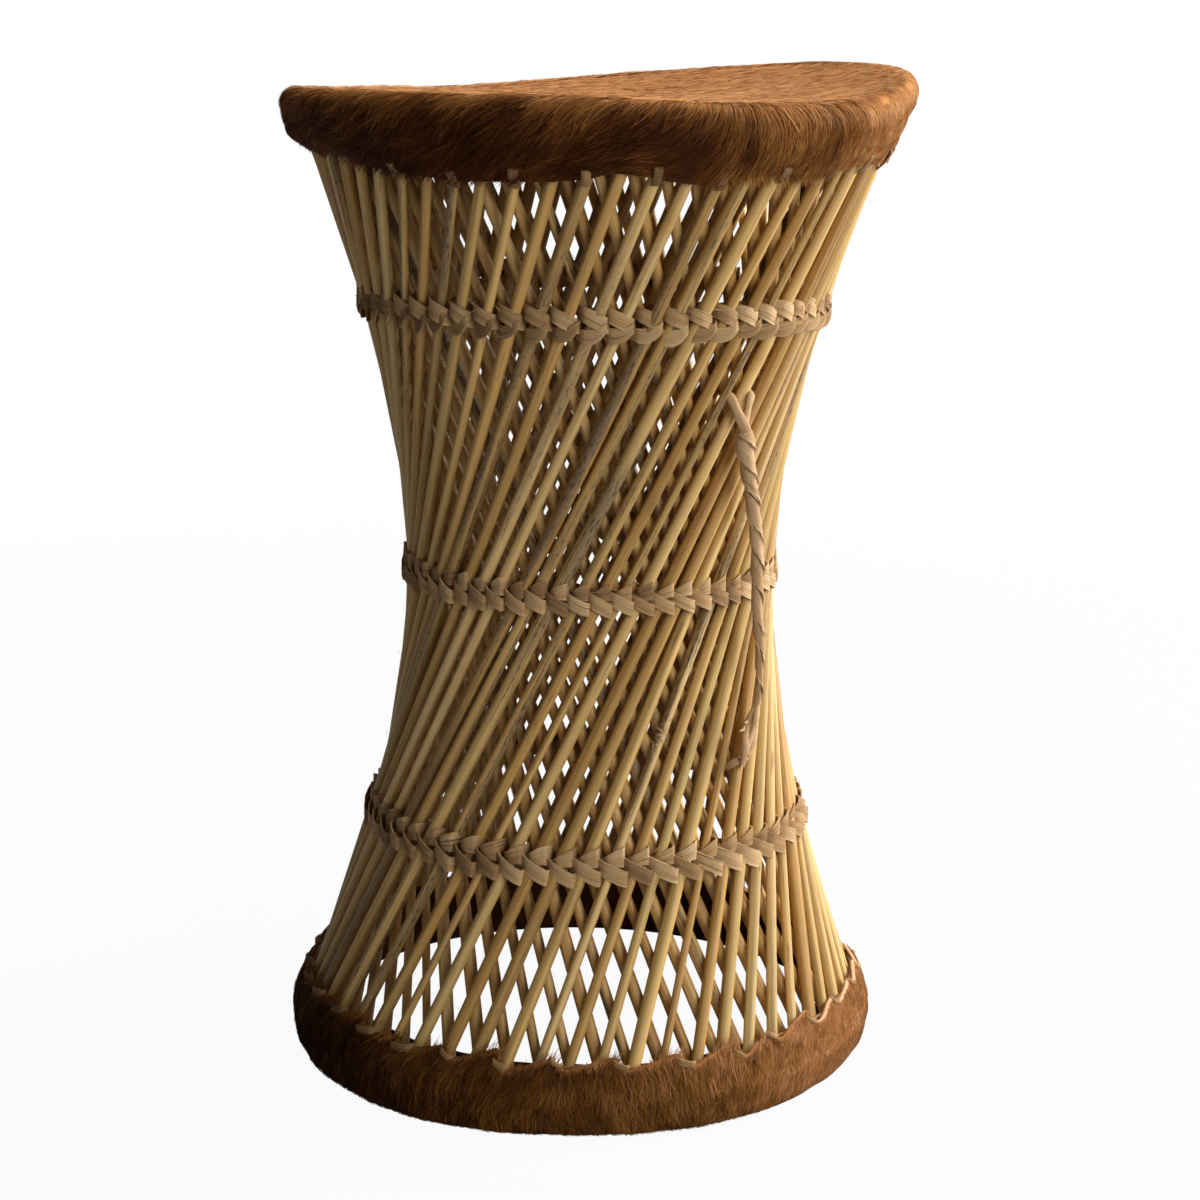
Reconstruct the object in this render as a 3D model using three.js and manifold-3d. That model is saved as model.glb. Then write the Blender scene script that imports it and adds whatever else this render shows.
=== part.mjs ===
// Mudda stool: two crossing layers of straight reeds form a waisted lattice between two grass hoops.
// Three twined bands tie the reeds where they cross. A hair-on hide covers the seat, another wraps the foot,
// and a twisted rope handle hangs on the side. Millimetres, the floor at z = 0, the front facing -Y.

import * as THREE from 'three';
import { mergeVertices } from 'three/addons/utils/BufferGeometryUtils.js';
import Module from 'manifold-3d';

const wasm = await Module();
wasm.setup();

// Overall sizes
const stoolHeight = 469;
const seatRadius = 148.4;
const waistRadius = 90.5;
const waistHeight = 235;
const clearance = 0.35;
const ringSides = 56;

// Reeds
const caneRadius = 2.7;
const caneCount = 56;
const canesPerPanel = 4;
const caneSides = 6;
const layerGap = 0.5;
const firstCaneDegrees = 1.6;

// Hide
const hideThickness = 1.8;

// Seat: rim hoop, deck and hide
const rimHoopHeight = 10;
const rimHoopOverhang = 4.4;
const rimHoopBevel = 3;
const deckThickness = 8;
const dishDepth = 6;
const dishFlatRadius = 62;
const crestWidth = 11;
const skirtHeight = 33;
const skirtClearance = 0.6;
const crestRound = 6;

// Foot: end ring, split-cane hoop, hide and its lacing
const footHoopHeight = 6;
const footHoopBevel = 1.5;
const footRound = 4;
const stripBottom = 18;
const stripTop = 38;
const stripThickness = 2.6;
const footHideTop = 44;
const scallopDepth = 7;
const canesPerStitch = 2;
const lacingWidth = 2.6;
const lacingThickness = 1.3;
const stitchDrop = 8;

// Twined bands
const middleBandHeight = 240.5;
const bandRows = 11;
const upperBandWidth = 15;
const middleBandWidth = 13.5;
const lowerBandWidth = 17;
const strandThickness = 2.8;
const strandEdgeThickness = 1.2;
const chevronReach = 3.2;
const innerRunWidth = 9;
const innerRunThickness = 1.6;
const twistHeight = 3;
const twistThickness = 1.8;

// Rope handle. Its free stretch runs from the top fork to the bottom knot. Each point of its route gives its
// distance off the reeds in rope diameters, then its cane and row as fractional counts.
const ropeDiameter = 6.8;
const tuckedPlyRadius = 1.4;
const forkRow = 8;
const forkCane = 2;
const knotRow = -8;
const knotCane = 11;
const knotRadius = 5;
const knotLength = 13;
const tailLift = 0.5;
const ropeSides = 8;
const plySides = 6;
const tailSteps = 4;
const knotSteps = 6;
const ropeRouteShares = [
  [1.046, 2.282, 7.271],
  [1.59, 3.016, 6.045],
  [2.06, 3.797, 4.823],
  [2.473, 4.677, 3.413],
  [2.856, 5.688, 1.554],
  [2.944, 6.681, -0.353],
  [2.616, 8.288, -2.861],
  [1.978, 9.509, -4.809],
  [1.394, 10.041, -5.932],
  [0.947, 10.342, -6.658],
];

// Materials
const reed = { color: 0xb8955c, roughness: 0.55, metalness: 0 };
const darkReed = { color: 0x94713f, roughness: 0.6, metalness: 0 };
const grass = { color: 0xa08058, roughness: 0.8, metalness: 0 };
const hide = { color: 0x7a4a22, roughness: 0.85, metalness: 0 };
const thong = { color: 0xc2986a, roughness: 0.7, metalness: 0 };
const rope = { color: 0xa98a64, roughness: 0.8, metalness: 0 };

// Heights that follow from the sizes above
const rimHoopTop = stoolHeight - hideThickness - clearance;
const rimHoopBottom = rimHoopTop - rimHoopHeight;
const caneTop = rimHoopBottom - clearance;
const footHoopBottom = hideThickness + clearance;
const footHoopTop = footHoopBottom + footHoopHeight;
const caneBottom = footHoopTop + clearance;

// Angles that follow from the counts
const canePitch = (2 * Math.PI) / caneCount;
const firstCaneTurn = THREE.MathUtils.degToRad(firstCaneDegrees);

// Places on the stool, by distance from the axis, turn from the front and height
const radial = (turn) => new THREE.Vector3(Math.sin(turn), -Math.cos(turn), 0);
const polar = (radius, turn, height) => radial(turn).multiplyScalar(radius).setZ(height);

// A ring of flat sides needs this much more radius to clear a round thing inside it.
const chordGrowth = (sides) => 1 / Math.cos(Math.PI / sides);

// Each layer of reeds is a hyperboloid: straight lines that pass the waist at one radius and lean one way.
function reedLayer(waistAxisRadius, endAxisRadius, lean) {
  const slope = Math.sqrt(endAxisRadius ** 2 - waistAxisRadius ** 2) / (caneTop - waistHeight);
  return { waistAxisRadius, slope, lean };
}

const sidestep = (layer, height) => layer.slope * (height - waistHeight);
const axisRadius = (layer, height) => Math.hypot(layer.waistAxisRadius, sidestep(layer, height));
const axisTurn = (layer, height) => layer.lean * Math.atan2(sidestep(layer, height), layer.waistAxisRadius);

// The angle between the layer's outline and the vertical at one height
function flare(layer, height) {
  return Math.atan((layer.slope * sidestep(layer, height)) / axisRadius(layer, height));
}

const caneReach = (layer, height) => caneRadius / Math.cos(flare(layer, height));
const outsideCanes = (height) => axisRadius(outerLayer, height) + caneReach(outerLayer, height);
const insideCanes = (height) => axisRadius(innerLayer, height) - caneReach(innerLayer, height);

const outerLayer = reedLayer(
  waistRadius - caneRadius,
  seatRadius - hideThickness - clearance - rimHoopOverhang - caneRadius,
  1,
);
const layerStep = 2 * caneRadius + layerGap;
const innerLayer = reedLayer(
  outerLayer.waistAxisRadius - layerStep,
  axisRadius(outerLayer, caneTop) - layerStep / Math.cos(flare(outerLayer, caneTop)),
  -1,
);

// The two layers cross in level rows. The rows are counted from the middle band.
const crossingTurn = (height) => axisTurn(outerLayer, height) - axisTurn(innerLayer, height);

function rowHeight(row) {
  const wanted = crossingTurn(middleBandHeight) + row * canePitch;
  let low = caneBottom;
  let high = caneTop;
  while (high - low > clearance / caneCount ** 2) {
    const middle = (low + high) / 2;
    if (crossingTurn(middle) < wanted) low = middle;
    else high = middle;
  }
  return (low + high) / 2;
}

const outerCaneTurn = (cane) => firstCaneTurn + cane * canePitch;
const innerCaneTurn = (cane) => outerCaneTurn(cane) + crossingTurn(middleBandHeight);
const outerCanePlace = (height, cane) => outerCaneTurn(cane) + axisTurn(outerLayer, height);

// Solids
function solidOf(geometry) {
  const bare = geometry.clone();
  bare.deleteAttribute('normal');
  bare.deleteAttribute('uv');
  const merged = mergeVertices(bare, clearance / caneCount ** 2);
  const vertProperties = merged.attributes.position.array;
  return new wasm.Manifold(new wasm.Mesh({ numProp: 3, vertProperties, triVerts: new Uint32Array(merged.index.array) }));
}

function geometryOf(solid) {
  const { numProp, vertProperties, triVerts } = solid.getMesh();
  const positions = [];
  for (let vertex = 0; vertex < vertProperties.length; vertex += numProp) {
    positions.push(...vertProperties.subarray(vertex, vertex + 3));
  }
  const geometry = new THREE.BufferGeometry();
  geometry.setAttribute('position', new THREE.Float32BufferAttribute(positions, 3));
  geometry.setIndex([...triVerts]);
  geometry.computeVertexNormals();
  return geometry;
}

const joined = (geometries) => geometryOf(geometries.map(solidOf).reduce((whole, piece) => whole.add(piece)));

// A closed ring through sections that are listed in order of turn, each anticlockwise with radius to the right.
function ringGeometry(sections) {
  const size = sections[0].length;
  const index = [];
  sections.forEach((section, station) => {
    const here = station * size;
    const next = ((station + 1) % sections.length) * size;
    section.forEach((point, corner) => {
      const following = (corner + 1) % size;
      index.push(here + corner, next + corner, next + following);
      index.push(here + corner, next + following, here + following);
    });
  });
  const geometry = new THREE.BufferGeometry();
  geometry.setFromPoints(sections.flat());
  geometry.setIndex(index);
  geometry.computeVertexNormals();
  return geometry;
}

// A turned solid about Z, from [radius, height] points listed from the bottom of the axis to its top
function turnedGeometry(profile) {
  const points = profile.map(([radius, height]) => new THREE.Vector2(radius, height));
  return new THREE.LatheGeometry(points, ringSides).rotateX(Math.PI / 2);
}

// A turned ring, from its section listed anticlockwise with radius to the right
const turnedRing = (section) => turnedGeometry([...section, section[0]]);

// Parts, each a named mesh
const stool = new THREE.Group();

function addPart(name, geometry, look) {
  const mesh = new THREE.Mesh(geometry, new THREE.MeshStandardMaterial(look));
  mesh.name = name;
  stool.add(mesh);
}

// One reed: an oval column with level ends, sheared to its lean and set against the waist
function caneGeometry(layer, turn) {
  const stretch = Math.hypot(1, layer.slope);
  const outline = new THREE.Shape();
  for (let side = 0; side < caneSides; side += 1) {
    const angle = (2 * Math.PI * side) / caneSides;
    const across = caneRadius * stretch * Math.sin(angle);
    const inwards = caneRadius * Math.cos(angle);
    if (side === 0) outline.moveTo(across, inwards);
    else outline.lineTo(across, inwards);
  }
  const geometry = new THREE.ExtrudeGeometry(outline, { depth: caneTop - caneBottom, bevelEnabled: false });
  geometry.applyMatrix4(new THREE.Matrix4().makeShear(0, 0, 0, 0, layer.lean * layer.slope, 0));
  geometry.translate(layer.lean * sidestep(layer, caneBottom), -layer.waistAxisRadius, caneBottom);
  return geometry.rotateZ(turn);
}

// The grass twisted between two neighbouring reeds, from the middle of one to the middle of the next
function twistGeometry(layer, turn) {
  const radius = axisRadius(layer, middleBandHeight);
  const length = 2 * radius * Math.sin(canePitch / 2);
  const geometry = new THREE.BoxGeometry(length, twistThickness, twistHeight);
  geometry.translate(0, -radius * Math.cos(canePitch / 2), middleBandHeight);
  return geometry.rotateZ(turn + axisTurn(layer, middleBandHeight) + canePitch / 2);
}

// A panel is a run of neighbouring reeds and the twists that tie them side by side at the waist.
function addPanels(prefix, layer, caneTurn, look) {
  for (let first = 0; first < caneCount; first += canesPerPanel) {
    const beyond = Math.min(first + canesPerPanel, caneCount);
    const pieces = [];
    for (let cane = first; cane < beyond; cane += 1) {
      pieces.push(caneGeometry(layer, caneTurn(cane)));
      if (cane + 1 < beyond) pieces.push(twistGeometry(layer, caneTurn(cane)));
    }
    const number = String(first / canesPerPanel + 1).padStart(2, '0');
    addPart(`${prefix}_${number}`, joined(pieces), look);
  }
}

// The front of a band: over each reed a strip thickens to its end, where it tucks in, and the ends form chevrons.
function bandFront(height, width, pointing) {
  const lapShares = [0, 0.84];
  const lapThicknesses = [strandEdgeThickness, strandThickness];
  const widestStep = canePitch * Math.max(lapShares[1], 1 - lapShares[1]);
  const growth = 1 / Math.cos(widestStep / 2);
  const top = height + width / 2;
  const bottom = height - width / 2;
  const inner = (level) => (outsideCanes(level) + clearance) * growth;
  const reach = (pointing * chevronReach) / outsideCanes(height);
  const sections = [];
  for (let cane = 0; cane < caneCount; cane += 1) {
    lapShares.forEach((share, lap) => {
      const turn = outerCanePlace(height, cane) + (share - lapShares[1] / 2) * canePitch;
      const thickness = lapThicknesses[lap];
      const edge = (thickness + strandEdgeThickness) / 2;
      sections.push([
        polar(inner(bottom), turn, bottom),
        polar(inner(bottom) + edge, turn - reach, bottom),
        polar(inner(height) + thickness, turn + reach, height),
        polar(inner(top) + edge, turn - reach, top),
        polar(inner(top), turn, top),
      ]);
    });
  }
  return ringGeometry(sections);
}

// The back of a band: the runs of the strips behind the inner reeds
function bandBack(height) {
  const top = height + innerRunWidth / 2;
  const bottom = height - innerRunWidth / 2;
  const face = (level) => insideCanes(level) - clearance;
  return turnedRing([
    [face(bottom) - innerRunThickness, bottom],
    [face(bottom), bottom],
    [face(top), top],
    [face(top) - innerRunThickness, top],
  ]);
}

function addBand(name, row, width, pointing) {
  addPart(`${name}_front`, bandFront(rowHeight(row), width, pointing), grass);
  addPart(`${name}_back`, bandBack(rowHeight(row)), grass);
}

// Seat
const rimHoopOuter = outsideCanes(caneTop) + rimHoopOverhang;
const rimHoopInner = insideCanes(caneTop);

function rimHoop() {
  return turnedRing([
    [rimHoopInner, rimHoopBottom],
    [rimHoopOuter - rimHoopBevel, rimHoopBottom],
    [rimHoopOuter, rimHoopBottom + rimHoopBevel],
    [rimHoopOuter, rimHoopTop - rimHoopBevel],
    [rimHoopOuter - rimHoopBevel, rimHoopTop],
    [rimHoopInner + rimHoopBevel, rimHoopTop],
    [rimHoopInner, rimHoopTop - rimHoopBevel],
  ]);
}

// The deck fills the rim hoop. Its top is dished like the hide, and its lower edge clears the reeds.
const dishTop = stoolHeight - dishDepth;
const deckTop = dishTop - hideThickness - clearance;
const deckBottom = deckTop - deckThickness;
const deckRadius = rimHoopInner - clearance;

function seatDeck() {
  return turnedGeometry([
    [0, deckBottom],
    [insideCanes(deckBottom) - clearance, deckBottom],
    [deckRadius, rimHoopBottom],
    [deckRadius, rimHoopTop - rimHoopBevel],
    [dishFlatRadius, deckTop],
    [0, deckTop],
  ]);
}

// The hide is drawn up from the flat of the dish over the rim hoop, and its skirt comes in to the reeds.
function seatHide() {
  const crest = rimHoopOuter + clearance;
  const crestBottom = rimHoopBottom + rimHoopBevel - clearance;
  const skirtBottom = stoolHeight - skirtHeight;
  const skirtInner = (outsideCanes(skirtBottom) + skirtClearance) * chordGrowth(ringSides);
  const underside = stoolHeight - hideThickness;
  return turnedGeometry([
    [0, dishTop - hideThickness],
    [dishFlatRadius, dishTop - hideThickness],
    [rimHoopInner - clearance, underside - rimHoopBevel],
    [rimHoopInner + rimHoopBevel - clearance, underside],
    [crest - rimHoopBevel + clearance, underside],
    [crest, underside - rimHoopBevel],
    [crest, crestBottom],
    [skirtInner, skirtBottom],
    [skirtInner + hideThickness, skirtBottom],
    [crest + hideThickness, crestBottom],
    [crest + hideThickness, stoolHeight - crestRound],
    [crest + hideThickness - crestRound, stoolHeight],
    [crest - crestWidth, stoolHeight],
    [dishFlatRadius, dishTop],
    [0, dishTop],
  ]);
}

// Foot
const footHoopOuter = outsideCanes(caneBottom);
const footHoopInner = insideCanes(caneBottom);

function footHoop() {
  return turnedRing([
    [footHoopInner + footHoopBevel, footHoopBottom],
    [footHoopOuter - footHoopBevel, footHoopBottom],
    [footHoopOuter, footHoopBottom + footHoopBevel],
    [footHoopOuter, footHoopTop],
    [footHoopInner, footHoopTop],
    [footHoopInner, footHoopBottom + footHoopBevel],
  ]);
}

const stripInner = (height) => (outsideCanes(height) + clearance) * chordGrowth(ringSides);
const stripOuter = (height) => stripInner(height) + stripThickness;

function footStrip() {
  return turnedRing([
    [stripInner(stripBottom), stripBottom],
    [stripOuter(stripBottom), stripBottom],
    [stripOuter(stripTop), stripTop],
    [stripInner(stripTop), stripTop],
  ]);
}

// The foot hide runs up the outside over the strip, under the foot hoop and up the inside of the reeds.
const stitchCount = Math.round(caneCount / canesPerStitch);
const stitchPitch = (2 * Math.PI) / stitchCount;
const stitchTurn = (stitch) => firstCaneTurn + stitch * stitchPitch;
const lacingBottom = stripTop + clearance;
const hideInner = (height) => stripOuter(height) + clearance;

function footHide() {
  const scallopShares = [0, 0.32, 0.68];
  const dip = footHideTop - scallopDepth;
  const innerTop = footHideTop;
  const hoopOutside = (footHoopOuter + clearance) * chordGrowth(ringSides);
  const hoopInside = footHoopInner - clearance;
  const wallInside = (height) => insideCanes(height) - clearance;
  const sections = [];
  for (let stitch = 0; stitch < stitchCount; stitch += 1) {
    scallopShares.forEach((share) => {
      const turn = stitchTurn(stitch) + share * stitchPitch;
      const top = share === 0 ? dip : footHideTop;
      const section = [
        [hoopInside, 0],
        [hoopOutside + hideThickness - footRound, 0],
        [hoopOutside + hideThickness, footRound],
        [hideInner(stripBottom) + hideThickness, stripBottom],
        [hideInner(top) + hideThickness, top],
        [hideInner(top), top],
        [hideInner(stripBottom), stripBottom],
        [hoopOutside, hideThickness],
        [hoopInside, hideThickness],
        [wallInside(innerTop), innerTop],
        [wallInside(innerTop) - hideThickness, innerTop],
        [hoopInside - hideThickness, footRound],
      ];
      sections.push(section.map(([radius, height]) => polar(radius, turn, height)));
    });
  }
  return ringGeometry(sections);
}

// The lacing runs on top of the strip behind the hide, and at each dip a stitch comes out over the edge.
function footLacing() {
  const inner = stripInner(lacingBottom);
  const outer = inner + lacingThickness;
  const top = lacingBottom + lacingThickness;
  const run = turnedRing([
    [inner, lacingBottom],
    [outer, lacingBottom],
    [outer, top],
    [inner, top],
  ]);
  const outside = (height) => (hideInner(height) + hideThickness + clearance) * chordGrowth(ringSides);
  const foot = lacingBottom - stitchDrop;
  const pieces = [run];
  for (let stitch = 0; stitch < stitchCount; stitch += 1) {
    const outline = new THREE.Shape();
    outline.moveTo(inner, lacingBottom);
    outline.lineTo(outside(lacingBottom), lacingBottom);
    outline.lineTo(outside(foot), foot);
    outline.lineTo(outside(foot) + lacingThickness, foot);
    outline.lineTo(outside(top) + lacingThickness, top);
    outline.lineTo(inner, top);
    const stitchPiece = new THREE.ExtrudeGeometry(outline, { depth: lacingWidth, bevelEnabled: false });
    stitchPiece.translate(0, 0, -lacingWidth / 2);
    stitchPiece.rotateX(Math.PI / 2);
    stitchPiece.rotateZ(stitchTurn(stitch) - Math.PI / 2);
    pieces.push(stitchPiece);
  }
  return joined(pieces);
}

// Handle
const ropeRoute = ropeRouteShares.map(([lift, cane, row]) => {
  const height = rowHeight(row);
  return polar(outsideCanes(height) + lift * ropeDiameter, outerCanePlace(height, cane), height);
});
const routeCurve = new THREE.CatmullRomCurve3(ropeRoute);

function ropeSection() {
  const points = Array.from({ length: ropeSides }, (_, side) => {
    const angle = (2 * Math.PI * side) / ropeSides;
    return new THREE.Vector2(Math.cos(angle), Math.sin(angle)).multiplyScalar(ropeDiameter / 2);
  });
  return new THREE.Shape(points);
}

function ropeStretch() {
  const steps = Math.round(routeCurve.getLength() / (2 * ropeDiameter));
  return new THREE.ExtrudeGeometry(ropeSection(), { steps, extrudePath: routeCurve, bevelEnabled: false });
}

// A ply tucked round one crossing: in through the gap on its left, behind it, and out on its right
function tuckedLoop(row, cane) {
  const height = rowHeight(row);
  const turn = outerCanePlace(height, cane);
  const front = outsideCanes(height) + clearance + tuckedPlyRadius;
  const back = insideCanes(height) - clearance - tuckedPlyRadius;
  const gap = canePitch / 2;
  const corner = gap / 2;
  const path = [
    [front, turn - corner],
    [front, turn + corner],
    [front - tuckedPlyRadius, turn + gap],
    [back + tuckedPlyRadius, turn + gap],
    [back, turn + corner],
    [back, turn - corner],
    [back + tuckedPlyRadius, turn - gap],
    [front - tuckedPlyRadius, turn - gap],
  ].map(([radius, place]) => polar(radius, place, height));
  const sections = path.map((middle, station) => {
    const before = path[(station + path.length - 1) % path.length];
    const after = path[(station + 1) % path.length];
    const side = after.clone().sub(before).normalize().cross(new THREE.Vector3(0, 0, 1));
    return Array.from({ length: plySides }, (_, edge) => {
      const angle = (2 * Math.PI * edge) / plySides;
      const outwards = side.clone().multiplyScalar(tuckedPlyRadius * Math.cos(angle));
      return middle.clone().add(outwards).setZ(height + tuckedPlyRadius * Math.sin(angle));
    });
  });
  return ringGeometry(sections);
}

// The rope beyond its free stretch: it runs on along its own line and bends in to the tucked loop.
function ropeTail(row, cane, endShare) {
  const height = rowHeight(row);
  const outwards = endShare === 0 ? -1 : 1;
  const along = routeCurve.getTangentAt(endShare).multiplyScalar(outwards);
  const start = routeCurve.getPointAt(endShare).addScaledVector(along, clearance);
  const seat = outsideCanes(height) + clearance + ropeDiameter / 2 + tailLift;
  const end = polar(seat, outerCanePlace(height, cane), height);
  const bend = start.clone().addScaledVector(along, start.distanceTo(end) / 2);
  const path = new THREE.QuadraticBezierCurve3(start, bend, end);
  return new THREE.ExtrudeGeometry(ropeSection(), { steps: tailSteps, extrudePath: path, bevelEnabled: false });
}

// The knot is a barrel over the tail, just clear of the reeds.
function knotGeometry() {
  const height = rowHeight(knotRow);
  const halfProfile = new THREE.EllipseCurve(0, 0, knotRadius, knotLength / 2, -Math.PI / 2, Math.PI / 2);
  const points = halfProfile.getPoints(knotSteps);
  points[0].x = 0;
  points[knotSteps].x = 0;
  const barrel = new THREE.LatheGeometry(points, ropeSides).rotateX(Math.PI / 2);
  const seat = polar(outsideCanes(height) + clearance + knotRadius, outerCanePlace(height, knotCane), height);
  return barrel.translate(...seat.toArray());
}

function addHandle() {
  addPart('handle_rope', ropeStretch(), rope);
  addPart('handle_top_fork', joined([tuckedLoop(forkRow, forkCane), ropeTail(forkRow, forkCane, 0)]), rope);
  const knot = [tuckedLoop(knotRow, knotCane), ropeTail(knotRow, knotCane, 1), knotGeometry()];
  addPart('handle_bottom_knot', joined(knot), rope);
}

addPanels('outer_canes', outerLayer, outerCaneTurn, reed);
addPanels('inner_canes', innerLayer, innerCaneTurn, darkReed);
addBand('upper_band', bandRows, upperBandWidth, 1);
addBand('middle_band', 0, middleBandWidth, -1);
addBand('lower_band', -bandRows, lowerBandWidth, -1);
addPart('seat_rim_hoop', rimHoop(), grass);
addPart('seat_deck', seatDeck(), grass);
addPart('seat_hide', seatHide(), hide);
addPart('foot_hoop', footHoop(), grass);
addPart('foot_strip', footStrip(), reed);
addPart('foot_hide', footHide(), hide);
addPart('foot_lacing', footLacing(), thong);
addHandle();

export default stool;
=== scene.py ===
"""Mudda stool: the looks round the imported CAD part, in metres, floor at z = 0 and the front facing -Y."""

import math
from functools import cached_property

import bpy
import numpy as np
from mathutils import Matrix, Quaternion, Vector


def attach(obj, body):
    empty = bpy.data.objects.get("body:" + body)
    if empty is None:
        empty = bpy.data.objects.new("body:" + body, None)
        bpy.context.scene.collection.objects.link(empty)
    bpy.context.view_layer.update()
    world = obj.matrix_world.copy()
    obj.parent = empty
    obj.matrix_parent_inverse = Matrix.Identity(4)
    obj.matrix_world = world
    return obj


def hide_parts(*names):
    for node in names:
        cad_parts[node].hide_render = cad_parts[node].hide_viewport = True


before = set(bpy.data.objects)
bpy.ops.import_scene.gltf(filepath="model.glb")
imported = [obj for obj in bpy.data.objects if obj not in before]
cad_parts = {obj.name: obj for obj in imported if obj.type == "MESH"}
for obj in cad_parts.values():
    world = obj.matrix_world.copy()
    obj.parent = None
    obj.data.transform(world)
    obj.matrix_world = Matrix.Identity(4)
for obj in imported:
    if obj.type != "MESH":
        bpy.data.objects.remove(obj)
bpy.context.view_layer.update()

TAU = 2 * math.pi
MM = 0.001
UP = np.array([0, 0, 1.0])
LEVEL = (1, 1, 0)

# Driving sizes, as in the CAD part
STOOL_HEIGHT = 0.469
SEAT_RADIUS = 0.1484
WAIST_RADIUS = 0.0905
WAIST_HEIGHT = 0.235
CLEARANCE = 0.00035
CANE_RADIUS = 0.0027
CANE_COUNT = 56
LAYER_GAP = 0.0005
FIRST_CANE_DEGREES = 1.6
HIDE_THICKNESS = 0.0018
RIM_HOOP_HEIGHT = 0.010
RIM_HOOP_OVERHANG = 0.0044
FOOT_HOOP_HEIGHT = 0.006
MIDDLE_BAND_HEIGHT = 0.2405
BAND_ROWS = 11
BAND_WIDTHS = {"upper": 0.015, "middle": 0.0132, "lower": 0.0155}
ROPE_DIAMETER = 0.0068
FORK_ROW, FORK_CANE = 8, 2
KNOT_ROW, KNOT_CANE = -8, 11
STRIP_BOTTOM, STRIP_TOP = 0.018, 0.038
STRIP_THICKNESS = 0.0026

# The rope's route: its distance off the reeds in rope diameters, then its cane and row as fractional counts
ROPE_ROUTE = [
    (1.046, 2.282, 7.271), (1.590, 3.016, 6.045), (2.060, 3.797, 4.823), (2.473, 4.677, 3.413),
    (2.856, 5.688, 1.554), (2.944, 6.681, -0.353), (2.616, 8.288, -2.861), (1.978, 9.509, -4.809),
    (1.394, 10.041, -5.932), (0.947, 10.342, -6.658),
]

# Camera: a long lens in front, a little above the seat, rolled and aimed as the photograph was taken
CAMERA_PLACE = (0.0053, -1.255, 0.505)
CAMERA_PITCH_DEGREES = 12.8
CAMERA_ROLL_DEGREES = 1.0
LENS_MM = 78
SENSOR_MM = 36

# Heights that follow
RIM_HOOP_TOP = STOOL_HEIGHT - HIDE_THICKNESS - CLEARANCE
CANE_TOP = RIM_HOOP_TOP - RIM_HOOP_HEIGHT - CLEARANCE
CANE_BOTTOM = HIDE_THICKNESS + FOOT_HOOP_HEIGHT + 2 * CLEARANCE
CANE_PITCH = TAU / CANE_COUNT
HEIGHT_SAMPLES = 4000


# Places
def join(*measures):
    """Vectors from their measures, each a number or an array."""
    return np.stack(np.broadcast_arrays(*measures), -1)


def polar(radius, turn, height):
    """Points by distance from the axis, turn from the front and height."""
    return join(radius * np.sin(turn), -radius * np.cos(turn), height)


def wheel(radius, angle):
    return join(radius * np.cos(angle), radius * np.sin(angle))


def even_turns(columns):
    return np.arange(columns) * TAU / columns


def ring_points(turn, rows):
    """Points for rows of distance and height over columns of turn."""
    return np.stack([polar(radius, turn, height) for radius, height in rows])


class Layer:
    """One layer of reeds: straight lines that pass the waist at one radius and lean one way."""

    def __init__(self, waist_axis_radius, end_axis_radius, lean):
        self.waist, self.lean = waist_axis_radius, lean
        self.slope = math.sqrt(end_axis_radius**2 - waist_axis_radius**2) / (CANE_TOP - WAIST_HEIGHT)

    def sidestep(self, height):
        return self.slope * (height - WAIST_HEIGHT)

    def radius(self, height):
        return np.hypot(self.waist, self.sidestep(height))

    def turn(self, height):
        return self.lean * np.arctan2(self.sidestep(height), self.waist)

    def reach(self, height):
        """A reed's half thickness measured level, away from the axis."""
        return CANE_RADIUS / np.cos(np.arctan(self.slope * self.sidestep(height) / self.radius(height)))


outer = Layer(
    WAIST_RADIUS - CANE_RADIUS, SEAT_RADIUS - HIDE_THICKNESS - CLEARANCE - RIM_HOOP_OVERHANG - CANE_RADIUS, 1
)
layer_step = 2 * CANE_RADIUS + LAYER_GAP
outer_end_flare = CANE_RADIUS / outer.reach(CANE_TOP)
inner = Layer(outer.waist - layer_step, outer.radius(CANE_TOP) - layer_step / outer_end_flare, -1)


def outside_canes(height):
    return outer.radius(height) + outer.reach(height)


def inside_canes(height):
    return inner.radius(height) - inner.reach(height)


def crossing_turn(height):
    return outer.turn(height) - inner.turn(height)


def row_height(row):
    """The height of a level row of crossings, counted from the middle band."""
    heights = np.linspace(CANE_BOTTOM, CANE_TOP, HEIGHT_SAMPLES)
    wanted = crossing_turn(MIDDLE_BAND_HEIGHT) + row * CANE_PITCH
    return float(np.interp(wanted, crossing_turn(heights), heights))


def outer_cane_turn(cane):
    return math.radians(FIRST_CANE_DEGREES) + cane * CANE_PITCH


def inner_cane_turn(cane):
    return outer_cane_turn(cane) + crossing_turn(MIDDLE_BAND_HEIGHT)


def outer_cane_place(height, cane):
    return outer_cane_turn(cane) + outer.turn(height)


# Curves, tables and smooth random fields
def unit(vectors):
    return vectors / np.maximum(np.linalg.norm(vectors, axis=-1, keepdims=True), 1e-12)


def travelled(path):
    """The distance gone at each point of a path."""
    return np.concatenate([[0], np.cumsum(np.linalg.norm(np.diff(path, axis=0), axis=1))])


def catmull_rom(a, b, c, d, t):
    return 0.5 * (2 * b + (c - a) * t + (2 * a - 5 * b + 4 * c - d) * t**2 + (3 * b - a - 3 * c + d) * t**3)


def smooth_curve(points, steps):
    """A curve through the points, at even distances."""
    points = np.asarray(points, float)
    padded = np.concatenate([2 * points[:1] - points[1:2], points, 2 * points[-1:] - points[-2:-1]])
    t = np.linspace(0, 1, 16, endpoint=False)[:, None]
    parts = [catmull_rom(*four, t) for four in zip(padded, padded[1:], padded[2:], padded[3:])]
    fine = np.concatenate(parts + [padded[-2:-1]])
    gone = travelled(fine)
    wanted = np.linspace(0, gone[-1], steps)
    return np.stack([np.interp(wanted, gone, fine[:, k]) for k in range(3)], 1)


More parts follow.
